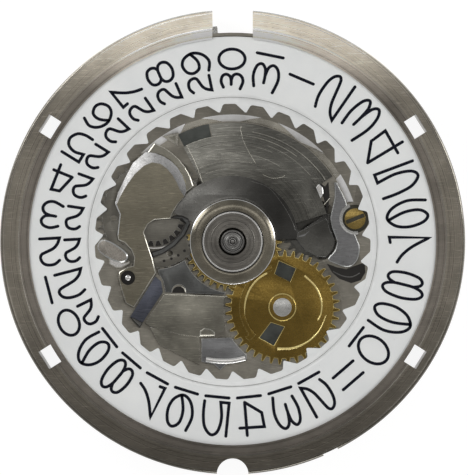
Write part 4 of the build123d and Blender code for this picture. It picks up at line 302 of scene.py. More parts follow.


# Painted light on the casing ring: its colour is multiplied up towards the top (+Y) as a painted highlight
# and down towards the bottom (-Y) as painted shade; the inner band takes a stronger painted highlight.
RING_PAINTED_LIGHT = (("Y", 8.6, 13.9, 3.9), ("Y", -1.0, -13.5, 0.50))
BAND_PAINTED_LIGHT = (("Y", 8.6, 13.9, 5.6), ("Y", -1.0, -13.5, 0.50))
LOOK = {
    "casing": metal("casing_steel", (0.235, 0.214, 0.178), 0.32, turned=0.12, scratches=0.55, stain=0.30,
                    light_and_tone_ramps=RING_PAINTED_LIGHT),
    "casing_edge": metal("casing_bright_edge", (0.34, 0.32, 0.28), 0.22, turned=0.05, scratches=0.2,
                         stain=0.25, light_and_tone_ramps=RING_PAINTED_LIGHT),
    "casing_inner": metal("casing_inner_band", (0.228, 0.206, 0.178), 0.34, turned=0.16, scratches=0.25,
                          light_and_tone_ramps=BAND_PAINTED_LIGHT),
    "nickel": metal("plate_nickel", (0.250, 0.235, 0.200), 0.42, scratches=0.35, stain=0.28),
    "nickel_edge": metal("nickel_bright_edge", (0.62, 0.60, 0.55), 0.26, scratches=0.1, stain=0.1),
    "stripes": metal("bridge_nickel", (0.40, 0.385, 0.345), 0.30, grain=28.0, scratches=0.25, stain=0.15),
    "turned": metal("turned_steel", (0.235, 0.230, 0.205), 0.33, turned=0.07, scratches=0.95, stain=0.45,
                    light_and_tone_ramps=(("X", -0.8, 2.4, 0.46),)),
    "guard": metal("guard_steel", (0.240, 0.236, 0.222), 0.30, scratches=0.2, stain=0.30, relief=0.2,
                   light_and_tone_ramps=(("X", -1.2, 2.2, 0.27),)),
    "cover": metal("cover_steel", (0.060, 0.059, 0.054), 0.32, scratches=0.2, stain=0.30, relief=0.2,
                   light_and_tone_ramps=(("Y", 1.6, -1.0, 1.9),)),
    "fan": metal("fan_steel", (0.190, 0.174, 0.132), 0.34, grain=62.0, scratches=0.55, stain=0.30),
    # The fan's broad slopes: bright polished steel with painted shade darkening them towards +X, which leaves
    # a painted highlight on the left.
    "slope": metal("sloped_steel", (0.78, 0.77, 0.75), 0.20, scratches=0.35, stain=0.45, relief=0.3,
                   light_and_tone_ramps=(("X", -6.3, -4.6, 0.30),)),
    "corrector": metal("corrector_steel", (0.30, 0.28, 0.25), 0.28, scratches=0.35, stain=0.25, relief=0.3),
    "dark": metal("dark_steel", (0.150, 0.148, 0.140), 0.34, scratches=0.35, stain=0.30),
    "sheet": metal("sheet_steel", (0.102, 0.104, 0.101), 0.34, scratches=0.30, stain=0.30, relief=0.3),
    "plain_steel": metal("plain_steel", (0.225, 0.215, 0.180), 0.38, scratches=0.45, stain=0.30),
    "wheel": metal("wheel_steel", (0.170, 0.162, 0.140), 0.36, scratches=0.3, stain=0.25),
    "blue": metal("blue_grey_steel", (0.098, 0.104, 0.128), 0.32, grain=20.0, scratches=0.25, stain=0.20),
    "lever": metal("lever_steel", (0.205, 0.206, 0.208), 0.32, grain=40.0, scratches=0.25, stain=0.22),
    "bright": metal("polished_steel", (0.80, 0.79, 0.77), 0.15, scratches=0.10, stain=0.12, relief=0.15),
    "crescent": metal("polished_slope", (0.95, 0.94, 0.92), 0.48, scratches=0.15, stain=0.30, relief=0.2),
    "worn": metal("worn_polish", (0.46, 0.44, 0.38), 0.24, scratches=0.45, stain=0.45, relief=0.3),
    "steel": metal("satin_steel", (0.44, 0.44, 0.425), 0.28, scratches=0.30, stain=0.22, relief=0.3),
    "dish": metal("dish_steel", (0.205, 0.188, 0.150), 0.20, scratches=0.3, stain=0.35, relief=0.15),
    "pipe": metal("pipe_steel", (0.165, 0.162, 0.155), 0.22, scratches=0.1, stain=0.25, relief=0.15),
    "disc": metal("disc_steel", (0.165, 0.156, 0.140), 0.36, turned=0.20, scratches=0.55, stain=0.45),
    "brass": metal("satin_brass", (0.27, 0.195, 0.065), 0.26, scratches=0.40, stain=0.40),
    "gold": metal("gilt_brass", (0.185, 0.122, 0.030), 0.28, scratches=0.20, stain=0.25, relief=0.3),
    "gold_edge": metal("gilt_bright_edge", (0.98, 0.78, 0.34), 0.17, scratches=0.1, stain=0.1, relief=0.2),
    "heavy": metal("heavy_metal", (0.34, 0.335, 0.32), 0.38, turned=0.12, scratches=0.3, stain=0.15),
    "date": date_paint(),
    "date_flange": plain("date_flange_grey", (0.92, 0.93, 0.92), 0.30),
    "date_line": plain("date_ring_line", (0.30, 0.30, 0.29), 0.50),
    "ink": plain("numeral_ink", (0.004, 0.005, 0.012), 0.60, gloss=0.15),
    "ruby": ruby(),
    # Painted shade: near black, laid in gaps, holes and recesses where shade falls.
    "shadow": plain("painted_shade", (0.022, 0.020, 0.018), 0.45, metallic=0.5),
    # Painted shade, dark olive, round the setting lever's screw and in the screw's slot.
    "olive_shade": metal("painted_screw_shade", (0.062, 0.060, 0.048), 0.40, scratches=0.1, stain=0.35, relief=0.2),
    # Painted shade, dark grey, on the floor under the date-driving wheel and in the plate's window.
    "pit": metal("painted_floor_shade", (0.085, 0.090, 0.084), 0.42, scratches=0.1, stain=0.45, relief=0.2),
}


# Geometry helpers

def new_object(name, shape):
    """A bmesh in millimetres as an object of the scene, in metres."""
    bmesh.ops.scale(shape, vec=(MM, MM, MM), verts=shape.verts)
    bmesh.ops.recalc_face_normals(shape, faces=shape.faces)
    mesh = bpy.data.meshes.new(name)
    shape.to_mesh(mesh)
    shape.free()
    made = bpy.data.objects.new(name, mesh)
    bpy.context.scene.collection.objects.link(made)
    return made


def piece(name, shape, body, *looks, slot=None):
    """A new object from a bmesh in millimetres, riding on a body, with its materials in order."""
    made = new_object(name, shape)
    for look in looks:
        made.data.materials.append(LOOK[look])
    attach(made, body)
    return made


def smooth(made, degrees=30):
    """Smooth shading on all but the sharp edges."""
    mesh = made.data
    mesh.shade_smooth()
    sharp = bmesh.new()
    sharp.from_mesh(mesh)
    for edge in sharp.edges:
        if len(edge.link_faces) == 2:
            edge.smooth = edge.calc_face_angle(0.0) < math.radians(degrees)
    sharp.to_mesh(mesh)
    sharp.free()
    return made


def settle(made):
    """Applies an object's modifiers to its mesh."""
    ready = bpy.data.meshes.new_from_object(made.evaluated_get(bpy.context.evaluated_depsgraph_get()))
    made.modifiers.clear()
    made.data = ready
    return made


def bevelled(made, width, degrees=35, segments=2):
    """Breaks the sharp edges of a piece; the new faces take its second material."""
    bevel = made.modifiers.new("edge", "BEVEL")
    bevel.width = width * MM
    bevel.segments = segments
    bevel.limit_method = "ANGLE"
    bevel.angle_limit = math.radians(degrees)
    bevel.use_clamp_overlap = True
    bevel.material = 1
    return smooth(settle(made))


def dressed(node, face, edge, width=0.03, slot=None):
    """Stands for a CAD node: its own surface, cleaned to plain faces, with broken and polished edges."""
    copy = bmesh.new()
    copy.from_mesh(frame["nodes"][node].data)
    bmesh.ops.remove_doubles(copy, verts=copy.verts, dist=1e-7)
    bmesh.ops.dissolve_limit(copy, angle_limit=math.radians(1), verts=copy.verts, edges=copy.edges)
    bmesh.ops.scale(copy, vec=(1 / MM,) * 3, verts=copy.verts)
    made = piece("look_" + node, copy, BODY_OF[node], face, edge, slot=slot)
    bevelled(made, width)
    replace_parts(made, node)
    return made


def parted(made, look, belongs):
    """Adds a material for the faces that a test on radius and height (mm) and upward tilt picks out."""
    made.data.materials.append(LOOK[look])
    extra = len(made.data.materials) - 1
    for face in made.data.polygons:
        centre = face.center / MM
        if belongs(math.hypot(centre.x, centre.y), centre.z, face.normal.z):
            face.material_index = extra


def layer(made, points, z):
    """Adds the vertices of a flat outline at one height."""
    return [made.verts.new((x, y, z)) for x, y in points]


def skin(made, rows, closed=False):
    """Adds faces between each row of vertices and the next, and over both ends unless the rows close."""
    sides = []
    for a, b in zip(rows, rows[1:] + rows[:1] if closed else rows[1:]):
        for k in range(len(a)):
            m = (k + 1) % len(a)
            if a[k].co != b[k].co or a[m].co != b[m].co:
                sides.append(made.faces.new((a[k], a[m], b[m], b[k])))
    if not closed:
        made.faces.new(rows[0])
        made.faces.new(rows[-1])
    return sides


def lathe(profile, centre=(0.0, 0.0), steps=256, start=0.0, sweep=360.0):
    """Turns a closed outline of (radius, z) points about a vertical axis, all the way round or part of it."""
    made = bmesh.new()
    whole = sweep >= 360
    count = steps if whole else max(2, round(steps * sweep / 360))
    rings = []
    for n in range(count if whole else count + 1):
        angle = start + sweep * n / count
        rings.append([made.verts.new((*polar(r, angle, centre), z)) for r, z in profile])
    skin(made, rings, whole)
    bmesh.ops.remove_doubles(made, verts=made.verts, dist=1e-5)
    return made


def hoop(r_in, r_out, z, top, centre=(0.0, 0.0), steps=256):
    """A flat ring with square edges."""
    return lathe([(r_in, z), (r_out, z), (r_out, top), (r_in, top)], centre, steps)


def block(size, at, degrees=0.0):
    """A box of (x, y, z) size, turned about +Z and centred at a place."""
    made = bmesh.new()
    bmesh.ops.create_cube(made, size=1)
    bmesh.ops.scale(made, vec=size, verts=made.verts)
    bmesh.ops.rotate(made, matrix=Matrix.Rotation(math.radians(degrees), 3, "Z"), verts=made.verts)
    bmesh.ops.translate(made, vec=at, verts=made.verts)
    return made


def rod(r, length, at, axis="Z", steps=64):
    """A cylinder along the Z or X axis, centred at a place."""
    made = bmesh.new()
    bmesh.ops.create_cone(made, cap_ends=True, segments=steps, radius1=r, radius2=r, depth=length)
    if axis == "X":
        bmesh.ops.rotate(made, matrix=Matrix.Rotation(math.radians(90), 3, "Y"), verts=made.verts)
    bmesh.ops.translate(made, vec=at, verts=made.verts)
    return made


def slab(points, z, top):
    """A flat outline of (x, y) points between two heights."""
    made = bmesh.new()
    skin(made, [layer(made, points, z), layer(made, points, top)])
    return made


def inset(points, width):
    """An outline's points moved inward by a width, or by one width for each side of the outline."""
    count = len(points)
    widths = width if isinstance(width, list) else [width] * count
    area = sum(a[0] * b[1] - b[0] * a[1] for a, b in zip(points, points[1:] + points[:1]))
    inward = 1 if area > 0 else -1
    lines = []
    for n in range(count):
        a, b = Vector(points[n]), Vector(points[(n + 1) % count])
        along = (b - a).normalized()
        lines.append((a + Vector((-along.y, along.x)) * inward * widths[n], along))
    moved = []
    for n in range(count):
        (p, u), (q, v) = lines[n - 1], lines[n]
        cross = u.x * v.y - u.y * v.x
        if abs(cross) < 0.05:
            corner = Vector(points[n])
            spot = (p + u * (corner - p).dot(u) + q + v * (corner - q).dot(v)) / 2
        else:
            gap = q - p
            spot = p + u * (gap.x * v.y - gap.y * v.x) / cross
        moved.append(spot.to_tuple())
    return moved


def faceted(points, z, top, width, drop):
    """A flat outline with a broad slope along its top edge, which takes the second material."""
    made = bmesh.new()
    rows = [layer(made, points, z), layer(made, points, top - drop), layer(made, inset(points, width), top)]
    for slope in skin(made, rows)[-len(points):]:
        slope.material_index = 1
    return made


def film(name, points, z, look, thick=0.006):
    """A thin dark or bright layer on a surface: painted shade in recesses too shallow to cut, and flat fills
    and marks.
    """
    piece(name, slab(points, z, z + thick), "movement", look)


def carve(made, cutters):
    """Takes several shapes in millimetres out of a piece."""
    tools = [new_object("cutter", shape) for shape in cutters]
    for tool in tools:
        cut = made.modifiers.new("cut", "BOOLEAN")
        cut.operation = "DIFFERENCE"
        cut.solver = "EXACT"
        cut.object = tool
    settle(made)
    for tool in tools:
        bpy.data.objects.remove(tool)
    return made


def heading(a, b):
    """The direction from one (x, y) point to another."""
    return Vector((b[0] - a[0], b[1] - a[1])).normalized()


def smooth_line(points, steps):
    """Points along a Catmull-Rom curve through the given ones."""
    if len(points) < 3:
        return points
    ends = [points[0]] + list(points) + [points[-1]]
    line = []
    for a, b, c, d in zip(ends, ends[1:], ends[2:], ends[3:]):
        for n in range(steps):
            t = n / steps
            line.append(tuple(
                0.5 * (2 * q + (r - p) * t + (2 * p - 5 * q + 4 * r - s) * t**2
                       + (3 * q - p - 3 * r + s) * t**3)
                for p, q, r, s in zip(a, b, c, d)
            ))
    line.append(points[-1])
    return line


def tube_path(points, radius, z, flat=1.0, taper=0.0):
    """A round bar along a smooth line, squeezed in height by flat and thinned by taper towards its end."""
    sides = 12
    made = bmesh.new()
    line = smooth_line(points, 8)
    rings = []
    for n, (x, y) in enumerate(line):
        r = radius * (1 - taper * n / (len(line) - 1))
        along = heading(line[max(0, n - 1)], line[min(len(line) - 1, n + 1)])
        side = Vector((-along.y, along.x, 0))
        ring = []
        for k in range(sides):
            turn = 2 * math.pi * k / sides
            rise = Vector((0, 0, r * flat * math.sin(turn)))
            ring.append(made.verts.new(Vector((x, y, z)) + side * r * math.cos(turn) + rise))
        rings.append(ring)
    skin(made, rings)
    return made


def edge_line(name, points, radius, z, look="worn", flat=0.6):
    """A thin bright or dark line along an edge or a scratch; some of these lines are painted highlights and
    painted shade.
    """
    piece(name, tube_path(points, radius, z, flat), "movement", look)


# Numerals

# Each digit is strokes in a unit box, u outward from the axis and v towards its top. Every 1 is a plain bar.
DIGITS = {
    0: [[polar(0.5, 360 * n / 32, (0.5, 0.5)) for n in range(33)]],
    2: [smooth_line([
        (0.05, 0.85), (0.26, 0.97), (0.48, 1.01), (0.74, 0.99), (0.92, 0.89), (1.0, 0.72), (0.94, 0.60),
        (0.80, 0.54), (0.60, 0.48), (0.32, 0.38), (0.12, 0.22), (0.0, 0.0),
    ], 4) + [(1.0, 0.0)]],
    3: [
        smooth_line([
            (0.12, 0.90), (0.50, 1.0), (0.86, 0.94), (0.99, 0.76), (0.84, 0.59), (0.56, 0.54),
            (0.30, 0.54),
        ], 6),
        smooth_line([(0.56, 0.54), (0.88, 0.46), (1.0, 0.27), (0.84, 0.07), (0.48, 0.0), (0.0, 0.13)], 6),
    ],
    4: [[(0.0, 0.30), (0.36, 0.95), (0.79, 1.0), (0.76, 0.0)], [(0.0, 0.30), (1.0, 0.27)]],
    5: [[(1.0, 1.0), (0.0, 1.0)] + smooth_line([
        (0.0, 0.66), (0.48, 0.75), (0.88, 0.64), (1.0, 0.38), (0.78, 0.10), (0.40, 0.0), (0.0, 0.0),
    ], 6)],
    6: [smooth_line([
        (1.0, 0.95), (0.55, 1.03), (0.16, 0.82), (0.0, 0.46), (0.18, 0.12), (0.52, 0.0), (0.88, 0.12),
        (1.0, 0.36), (0.82, 0.60), (0.44, 0.60), (0.03, 0.38),
    ], 7)],
    7: [[(0.03, 0.76), (0.0, 0.97)] + smooth_line([
        (0.98, 1.02), (0.58, 0.64), (0.34, 0.30), (0.22, 0.0),
    ], 6)],
    8: [
        smooth_line([
            (0.5, 0.53), (0.74, 0.52), (0.94, 0.43), (1.0, 0.26), (0.86, 0.08), (0.5, 0.0), (0.14, 0.08),
            (0.0, 0.26), (0.06, 0.43), (0.26, 0.52), (0.5, 0.53),
        ], 5),
        smooth_line([
            (0.25, 0.53), (0.11, 0.62), (0.07, 0.77), (0.18, 0.93), (0.5, 1.0), (0.82, 0.93), (0.93, 0.77),
            (0.89, 0.62), (0.75, 0.53),
        ], 5),
    ],
}
DIGITS[9] = [[(1 - u, 1 - v) for u, v in stroke] for stroke in DIGITS[6]]


def stroke_ribbon(made, points, lift=0.0):
    """Adds one printed line: a low ribbon with mitred corners and round ends along (x, y) points."""
    z, top = DATE_TOP_Z - INK, DATE_TOP_Z + INK + lift
    closed = math.dist(points[0], points[-1]) < 1e-6
    line = points[:-1] if closed else points
    count = len(line)
    rows = []
    for n, (x, y) in enumerate(line):
        before = line[n - 1] if n or closed else None
        after = line[(n + 1) % count] if n < count - 1 or closed else None
        ways = [heading(a, b) for a, b in ((before, (x, y)), ((x, y), after)) if a and b]
        along = sum(ways, Vector((0, 0)))
        along = along.normalized() if along.length > 1e-6 else ways[0]
        reach = STROKE / 2 / max(0.45, abs(along.dot(ways[0])))
        side = Vector((-along.y, along.x)) * reach
        left, right = (x + side.x, y + side.y), (x - side.x, y - side.y)
        rows.append([made.verts.new((*p, h)) for p, h in ((left, z), (left, top), (right, top), (right, z))])
    skin(made, rows, closed)
    if closed:
        return
    for end, inner in ((line[0], line[1]), (line[-1], line[-2])):
        away = math.degrees(math.atan2(end[1] - inner[1], end[0] - inner[0]))
        cap = [polar(STROKE / 2, away - 90 + 180 * k / 8, end) for k in range(9)]
        skin(made, [layer(made, cap, z), layer(made, cap, top)])


def on_ring(angle, r, share, height):
    """A place on the date ring: a radius, and a share of the height above the numeral's middle."""
    out = Vector(polar(1, angle))
    spot = out * r + Vector((-out.y, out.x)) * share * height
    return spot.x, spot.y


def digit_on_ring(made, digit, span, angle, height=NUMERAL_HEIGHT):
    """Prints a digit between two radii, each further stroke a little higher, so that none share a plane."""
    for n, stroke in enumerate(DIGITS[digit]):
        points = [on_ring(angle, span[0] + u * (span[1] - span[0]), v - 0.5, height) for u, v in stroke]
        stroke_ribbon(made, points, n * INK / 4)


def bar_on_ring(made, r, angle, height=NUMERAL_HEIGHT):
    stroke_ribbon(made, [on_ring(angle, r, share, height) for share in (-0.5, 0.5)])


def make_numerals():
    """The dates 1 to 31 as printed lines. The photograph shows 4 to 25; the others follow their style."""
    made = bmesh.new()
    for date in range(1, DATES + 1):
        angle = SEVEN_ANGLE - (date - 7) * DATE_PITCH
        tens, ones = divmod(date, 10)
        if date == 1:
            bar_on_ring(made, sum(SINGLE_SPAN) / 2, angle)
        elif date < 10:
            digit_on_ring(made, ones, SINGLE_SPAN, angle)
        elif date == 11:
            for r in ELEVEN_BARS:
                bar_on_ring(made, r, angle, ELEVEN_HEIGHT)
        elif tens == 1:
            bar_on_ring(made, TEN_BAR_R, angle, TEN_BAR_HEIGHT)
            digit_on_ring(made, ones, ONES_SPAN, angle, ONES_HEIGHT)
        elif ones == 1:
            digit_on_ring(made, tens, WIDE_SPAN, angle)
            bar_on_ring(made, LAST_BAR_R, angle, LAST_BAR_HEIGHT)
        else:
            digit_on_ring(made, tens, TWENTY_SPAN, angle, TWENTY_HEIGHT)
            digit_on_ring(made, ones, LAST_SPAN, angle, LAST_HEIGHT)
    piece("date_numerals", made, "date", "ink", slot="date_enamel")


# Casing ring and date ring

def make_casing_ring():
    """The ring with its low outer band and inner lip, and its slots, gap, notch and stem window cut out."""
    edge = 0.10
    band_z = RING_TOP_Z - RIM_STEP
    profile = [
        (RING_BORE_R, 0.0), (RING_R - 0.12, 0.0), (RING_R, 0.12), (RING_R, RING_TOP_Z - edge),
        (RING_R - 0.05, RING_TOP_Z - 0.03), (RING_R - edge, RING_TOP_Z), (BAND_OUT_R + 0.05, RING_TOP_Z),
        (BAND_OUT_R, band_z), (BAND_IN_R + 0.05, band_z), (BAND_IN_R, RING_TOP_Z - 2 * RIM_STEP),
        (RING_LIP_R + 0.06, RING_TOP_Z - 0.12), (RING_LIP_R, RING_TOP_Z - 0.15), (RING_LIP_R, LIP_Z),
        (RING_BORE_R, LIP_Z),
    ]
    made = piece("look_casing_ring", lathe(profile, steps=360), "movement", "casing", slot="casing_steel")
    deep, across = 2 * RING_TOP_Z, 2 * (RING_R - RING_LIP_R)
    cutters = [
        block((GAP_WIDTH, across + 0.4, deep), (0, RING_R, 0)),
        rod(NOTCH_R, deep, (0, -RING_R, 0)),
        rod(STEM_WINDOW_R, across, (RING_R, 0, STEM_Z), "X"),
        block((STEP_DEPTH, NOTCH_R, deep), (*polar(RING_R, STEP_ANGLE), 0), STEP_ANGLE),
    ]
    for angle in (SLOT_ANGLE, -SLOT_ANGLE, 180 - SLOT_ANGLE, SLOT_ANGLE - 180):
        cutters.append(block((SLOT_DEPTH, SLOT_WIDTH, deep), (*polar(SLOT_R, angle), 0), angle))
    carve(made, cutters)
    parted(made, "casing_edge", lambda r, z, tilt: z > LIP_Z and 0.2 < tilt < 0.98)
    parted(made, "casing_inner", lambda r, z, tilt: z > LIP_Z and r < BAND_IN_R)
    bevelled(made, 0.035, degrees=50, segments=1)
    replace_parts(made, "casing_ring")


def make_date_ring():
    """The CAD ring with broken edges, a pale grey flange where it slopes, and the thin line round it."""
    made = dressed("date_ring", "date", "date", 0.035, slot="date_enamel")
    parted(made, "date_flange", lambda r, z, tilt: FLANGE_IN_R < r < FLANGE_OUT_R and 0.3 < tilt < 0.999)
    smooth(made, 50)
    line = hoop(DATE_LINE_R, DATE_LINE_R + 0.035, DATE_TOP_Z - 0.02, DATE_TOP_Z + 0.004, steps=360)
    piece("look_date_line", line, "date", "date_line", slot="date_enamel")


# Middle: hour wheel's dish and disc, and the hand seats

def make_centre():
    dome = [
        (0.87, 5.38), (2.66, 5.38), (2.70, 5.39), (2.70, 5.40), (2.66, 5.425), (2.58, 5.47), (2.48, 5.52),
        (2.40, 5.55), (2.28, 5.572), (2.12, 5.58), (2.02, 5.575), (1.97, 5.555), (1.94, 5.54),
        (0.87, 5.54),
    ]
    made = piece("look_centre_dome", lathe(dome, steps=192), "hour", "dish", slot="polished_steel")
    parted(made, "bright", lambda r, z, tilt: r > 2.64 and tilt > 0)
    # Painted shade on the dish's inner step, round and under the disc.
    parted(made, "shadow", lambda r, z, tilt: r < 1.96 and z > 5.5)
    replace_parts(smooth(made), "centre_dome")
    disc = [
        (0.86, 5.54), (1.88, 5.54), (1.90, 5.55), (1.90, 5.63), (1.87, 5.66), (1.80, 5.66), (1.775, 5.64),
        (1.42, 5.64), (1.40, 5.652), (1.36, 5.652), (1.34, 5.63), (1.31, 5.64), (0.93, 5.64),
        (0.90, 5.655), (0.86, 5.64),
    ]
    made = piece("look_centre_disc", lathe(disc, steps=160), "hour", "disc", slot="dark_steel")
    parted(made, "bright", lambda r, z, tilt: r > 1.81)
    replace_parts(smooth(made), "centre_disc")
    made = dressed("hour_wheel", "brass", "gold_edge", slot="brass")
    parted(made, "pipe", lambda r, z, tilt: r < 1.0 and z > 5.30)
    dressed("cannon_pinion", "pipe", "steel", 0.025, slot="polished_steel")
    made = dressed("seconds_wheel", "brass", "bright", 0.02, slot="brass")
    parted(made, "pipe", lambda r, z, tilt: z > 4.6)


# Dial side: calendar wheels and flat steel parts

def make_calendar_wheels():
    dressed("date_driving_wheel", "gold", "gold_edge", 0.035, slot="gilt_brass")
    dressed("date_finger", "gold", "gold_edge", slot="gilt_brass")
    for name, places, thick, taper in (
        ("left", ((2.40, 114), (2.38, 131), (2.37, 150), (2.39, 172), (2.49, 196), (2.62, 224)), 0.090, 0.15),
        ("right", ((2.44, 55), (2.47, 32), (2.50, 10), (2.48, -8), (2.40, -20)), 0.075, 0.45),
        ("low", ((2.64, -97), (2.66, -76), (2.70, -54), (2.76, -32), (2.82, -10)), 0.10, 0.75),
    ):
        points = [polar(r, angle, DATE_WHEEL_AT) for r, angle in places]
        arc = tube_path(points, thick, DATE_WHEEL_Z, 0.6, taper)
        smooth(piece("look_date_arc_" + name, arc, "date_drive", "gold_edge", slot="gilt_brass"), 60)
    # Painted shade on the floor under the date-driving wheel.
    film("look_date_floor_shade", [polar(3.25, 7.5 * n, DATE_WHEEL_AT) for n in range(48)], DATE_FLOOR_Z, "pit")
    dressed("intermediate_wheel", "wheel", "steel", 0.02, slot="polished_steel")
    # Painted shade between the intermediate wheel's teeth, on its sheet.
    gap = hoop(1.52, 1.93, SHEET_Z, SHEET_Z + 0.006, INTERMEDIATE_AT)
    piece("look_intermediate_gap_shade", gap, "intermediate", "shadow")
    rim = [(2.00, SHEET_Z), (2.12, SHEET_Z), (2.10, SHEET_Z + 0.025), (2.02, SHEET_Z + 0.025)]
    piece("look_intermediate_rim", lathe(rim, INTERMEDIATE_AT), "intermediate", "bright")
    # Dark spots of painted shade standing in for small holes in the wheel's sheet.
    for n in range(7):
        spot = (*polar(2.92, -78 + 9.5 * n, INTERMEDIATE_AT), SHEET_Z + 0.004)
        piece(f"look_perforation_shade_{n}", rod(0.09, 0.008, spot, steps=16), "intermediate", "shadow")
    dressed("minute_wheel", "brass", "gold_edge", 0.02, slot="brass")
    dressed("setting_wheel", "cover", "dark", 0.02, slot="brass")


def sector(r_in, r_out, start, end, steps):
    """The corners of part of a ring about the movement's axis."""
    angles = [start + (end - start) * n / steps for n in range(steps + 1)]
    return [polar(r_out, a) for a in angles] + [polar(r_in, a) for a in reversed(angles)]


def crescent(name, start, end, taper):
    """A polished slope between the groove's floor and the plate, narrowing to a point at both ends."""
    made = bmesh.new()
    steps = 40
    low = LAND_Z - 0.18
    rows = []
    for n in range(steps + 1):
        share = n / steps
        width = min(1.0, share / taper, (1 - share) / taper)
        inner = GROOVE_R - 0.43 * max(0.04, width)
        corners = ((GROOVE_R, low), (GROOVE_R, LAND_Z + 0.012), (inner, LAND_Z - 0.10 * width), (inner, low))
        angle = start + (end - start) * share
        rows.append([made.verts.new((*polar(r, angle), z)) for r, z in corners])
    skin(made, rows)
    smooth(piece("look_crescent_" + name, made, "movement", "crescent", slot="polished_steel"), 40)


def make_upper_plate():
    """The large turned plate, its guard, scribed arcs and edges, painted shade in its recesses and along the
    guard's leaf, a painted highlight on its left edge, and the groove's crescents.
    """
    made = dressed("upper_calendar_plate", "turned", "bright", 0.045, slot="dark_steel")
    parted(made, "guard", lambda r, z, tilt: z < GUARD_TOP_Z + 0.01 and r < 4.18)
    smooth(carve(made, [hoop(5.06, 5.10, STEEL_TOP_Z - 0.03, STEEL_TOP_Z + 0.1)]), 25)
    cover = faceted([
        (4.13, 0.60), (5.0, 1.02), (5.92, 1.50), (6.0, 1.32), (6.13, 0.84), (6.40, 0.2), (6.46, -0.06),
        (6.36, -0.48), (5.92, -0.99), (5.3, -0.94), (4.6, -0.58), (4.22, -0.12), (4.04, 0.2),
    ], 5.30, COVER_Z, 0.04, 0.03)
    piece("look_wheel_cover", cover, "movement", "cover", "dark", slot="dark_steel")
    slot = [(4.15, 0.28), (4.55, 0.36), (4.9, 0.72), (4.62, 0.50), (4.2, 0.36)]
    film("look_cover_slot", slot, COVER_Z, "lever")
    film("look_guard_lip", sector(2.74, 2.90, 2.5, 154.0, 40), LAND_Z + 0.005, "guard", 0.05)
    for name, r, start, sweep in (
        ("outer", 6.75, 53, 63), ("inner", 5.13, 76, 40), ("a", 6.18, 66, 34), ("b", 5.62, 58, 52),
        ("c", 5.42, 84, 22), ("d", 4.62, 92, 20), ("e", 6.46, 40, 30), ("f", 7.05, 34, 46),
    ):
        low = STEEL_TOP_Z - 0.004
        scribe = lathe([(r - 0.02, low), (r + 0.02, low), (r, STEEL_TOP_Z + 0.006)], start=start, sweep=sweep)
        piece("look_scribe_" + name, scribe, "movement", "worn")
    for name, points in (
        ("look_crease", [(0.52, 7.30), (0.54, 6.85), (0.82, 6.05), (1.45, 4.95)]),
        # A bright line standing in for the highlight on the plate's left edge.
        ("look_plate_edge_highlight", [(-2.90, 6.06), (-2.46, 5.20), (-2.14, 4.42), (-1.93, 3.82)]),
        ("look_plate_scratch", [(1.9, 4.25), (2.5, 4.02), (3.1, 4.08), (3.3, 4.2)]),
    ):
        edge_line(name, points, 0.026, STEEL_TOP_Z - 0.012)
    # A dark line of painted shade along the guard's leaf edge.
    leaf = [(1.15, 3.84), (2.24, 3.44), (3.05, 2.52), (3.66, 1.52), (3.98, 0.72)]
    edge_line("look_guard_leaf_shade", leaf, 0.022, GUARD_TOP_Z - 0.002, "dark")
    # Painted shade on the land in the window between 101.5° and 117°.
    film("look_window_floor_shade", sector(6.76, 7.60, 101.5, 117.0, 10), LAND_Z, "pit")
    # Painted shade on the plate beside the setting lever.
    film("look_lever_pit_shade", [
        (5.45, 3.75), (5.85, 3.5), (6.06, 3.80), (6.14, 2.9), (6.0, 1.8), (6.02, 1.0), (5.88, 1.8),
        (5.92, 2.2),
    ], LAND_Z, "shadow")
    # Painted shade on the plate below the setting lever, with a dark-steel streak across it.
    film("look_lower_pit_shade", [
        (5.95, -1.38), (6.6, -1.62), (7.2, -1.74), (7.8, -1.5), (8.36, -1.32), (8.40, -1.95), (8.1, -2.45),
        (7.5, -2.62), (6.75, -2.35), (6.3, -1.95),
    ], LAND_Z, "shadow")
    streak = [(6.35, -1.88), (6.95, -2.16), (7.55, -2.22), (8.05, -1.98)]
    edge_line("look_lower_streak", streak, 0.035, LAND_Z + 0.004, "dark", 0.5)
    post = faceted([(-4.45, 6.66), (-3.47, 6.05), (-3.42, 6.92)], LAND_Z, STEP_TOP_Z, 0.16, 0.05)
    piece("look_window_post", post, "movement", "plain_steel", "worn", slot="polished_steel")
    wedge = [(5.26, 3.48), (5.46, 3.66), (5.70, 3.42), (5.74, 3.05), (5.56, 2.74)]
    wedge = faceted(wedge, STEEL_TOP_Z - 0.1, STEEL_TOP_Z + 0.015, 0.05, 0.03)
    piece("look_bright_wedge", wedge, "movement", "bright", "bright", slot="polished_steel")
    floor = [(7.63, GROOVE_FLOOR_Z), (8.02, GROOVE_FLOOR_Z), (8.02, LAND_Z - 0.09), (7.63, LAND_Z - 0.15)]
    floor = lathe(floor, start=19, sweep=132)
    smooth(piece("look_groove_floor", floor, "movement", "worn", slot="polished_steel"))
    for name, start, end, taper in (
        ("top", 77, 104, 0.35), ("left", 112, 136, 0.15), ("right", 44, 69, 0.45), ("bar", 18.4, 32, 0.06),
    ):
        crescent(name, start, end, taper)


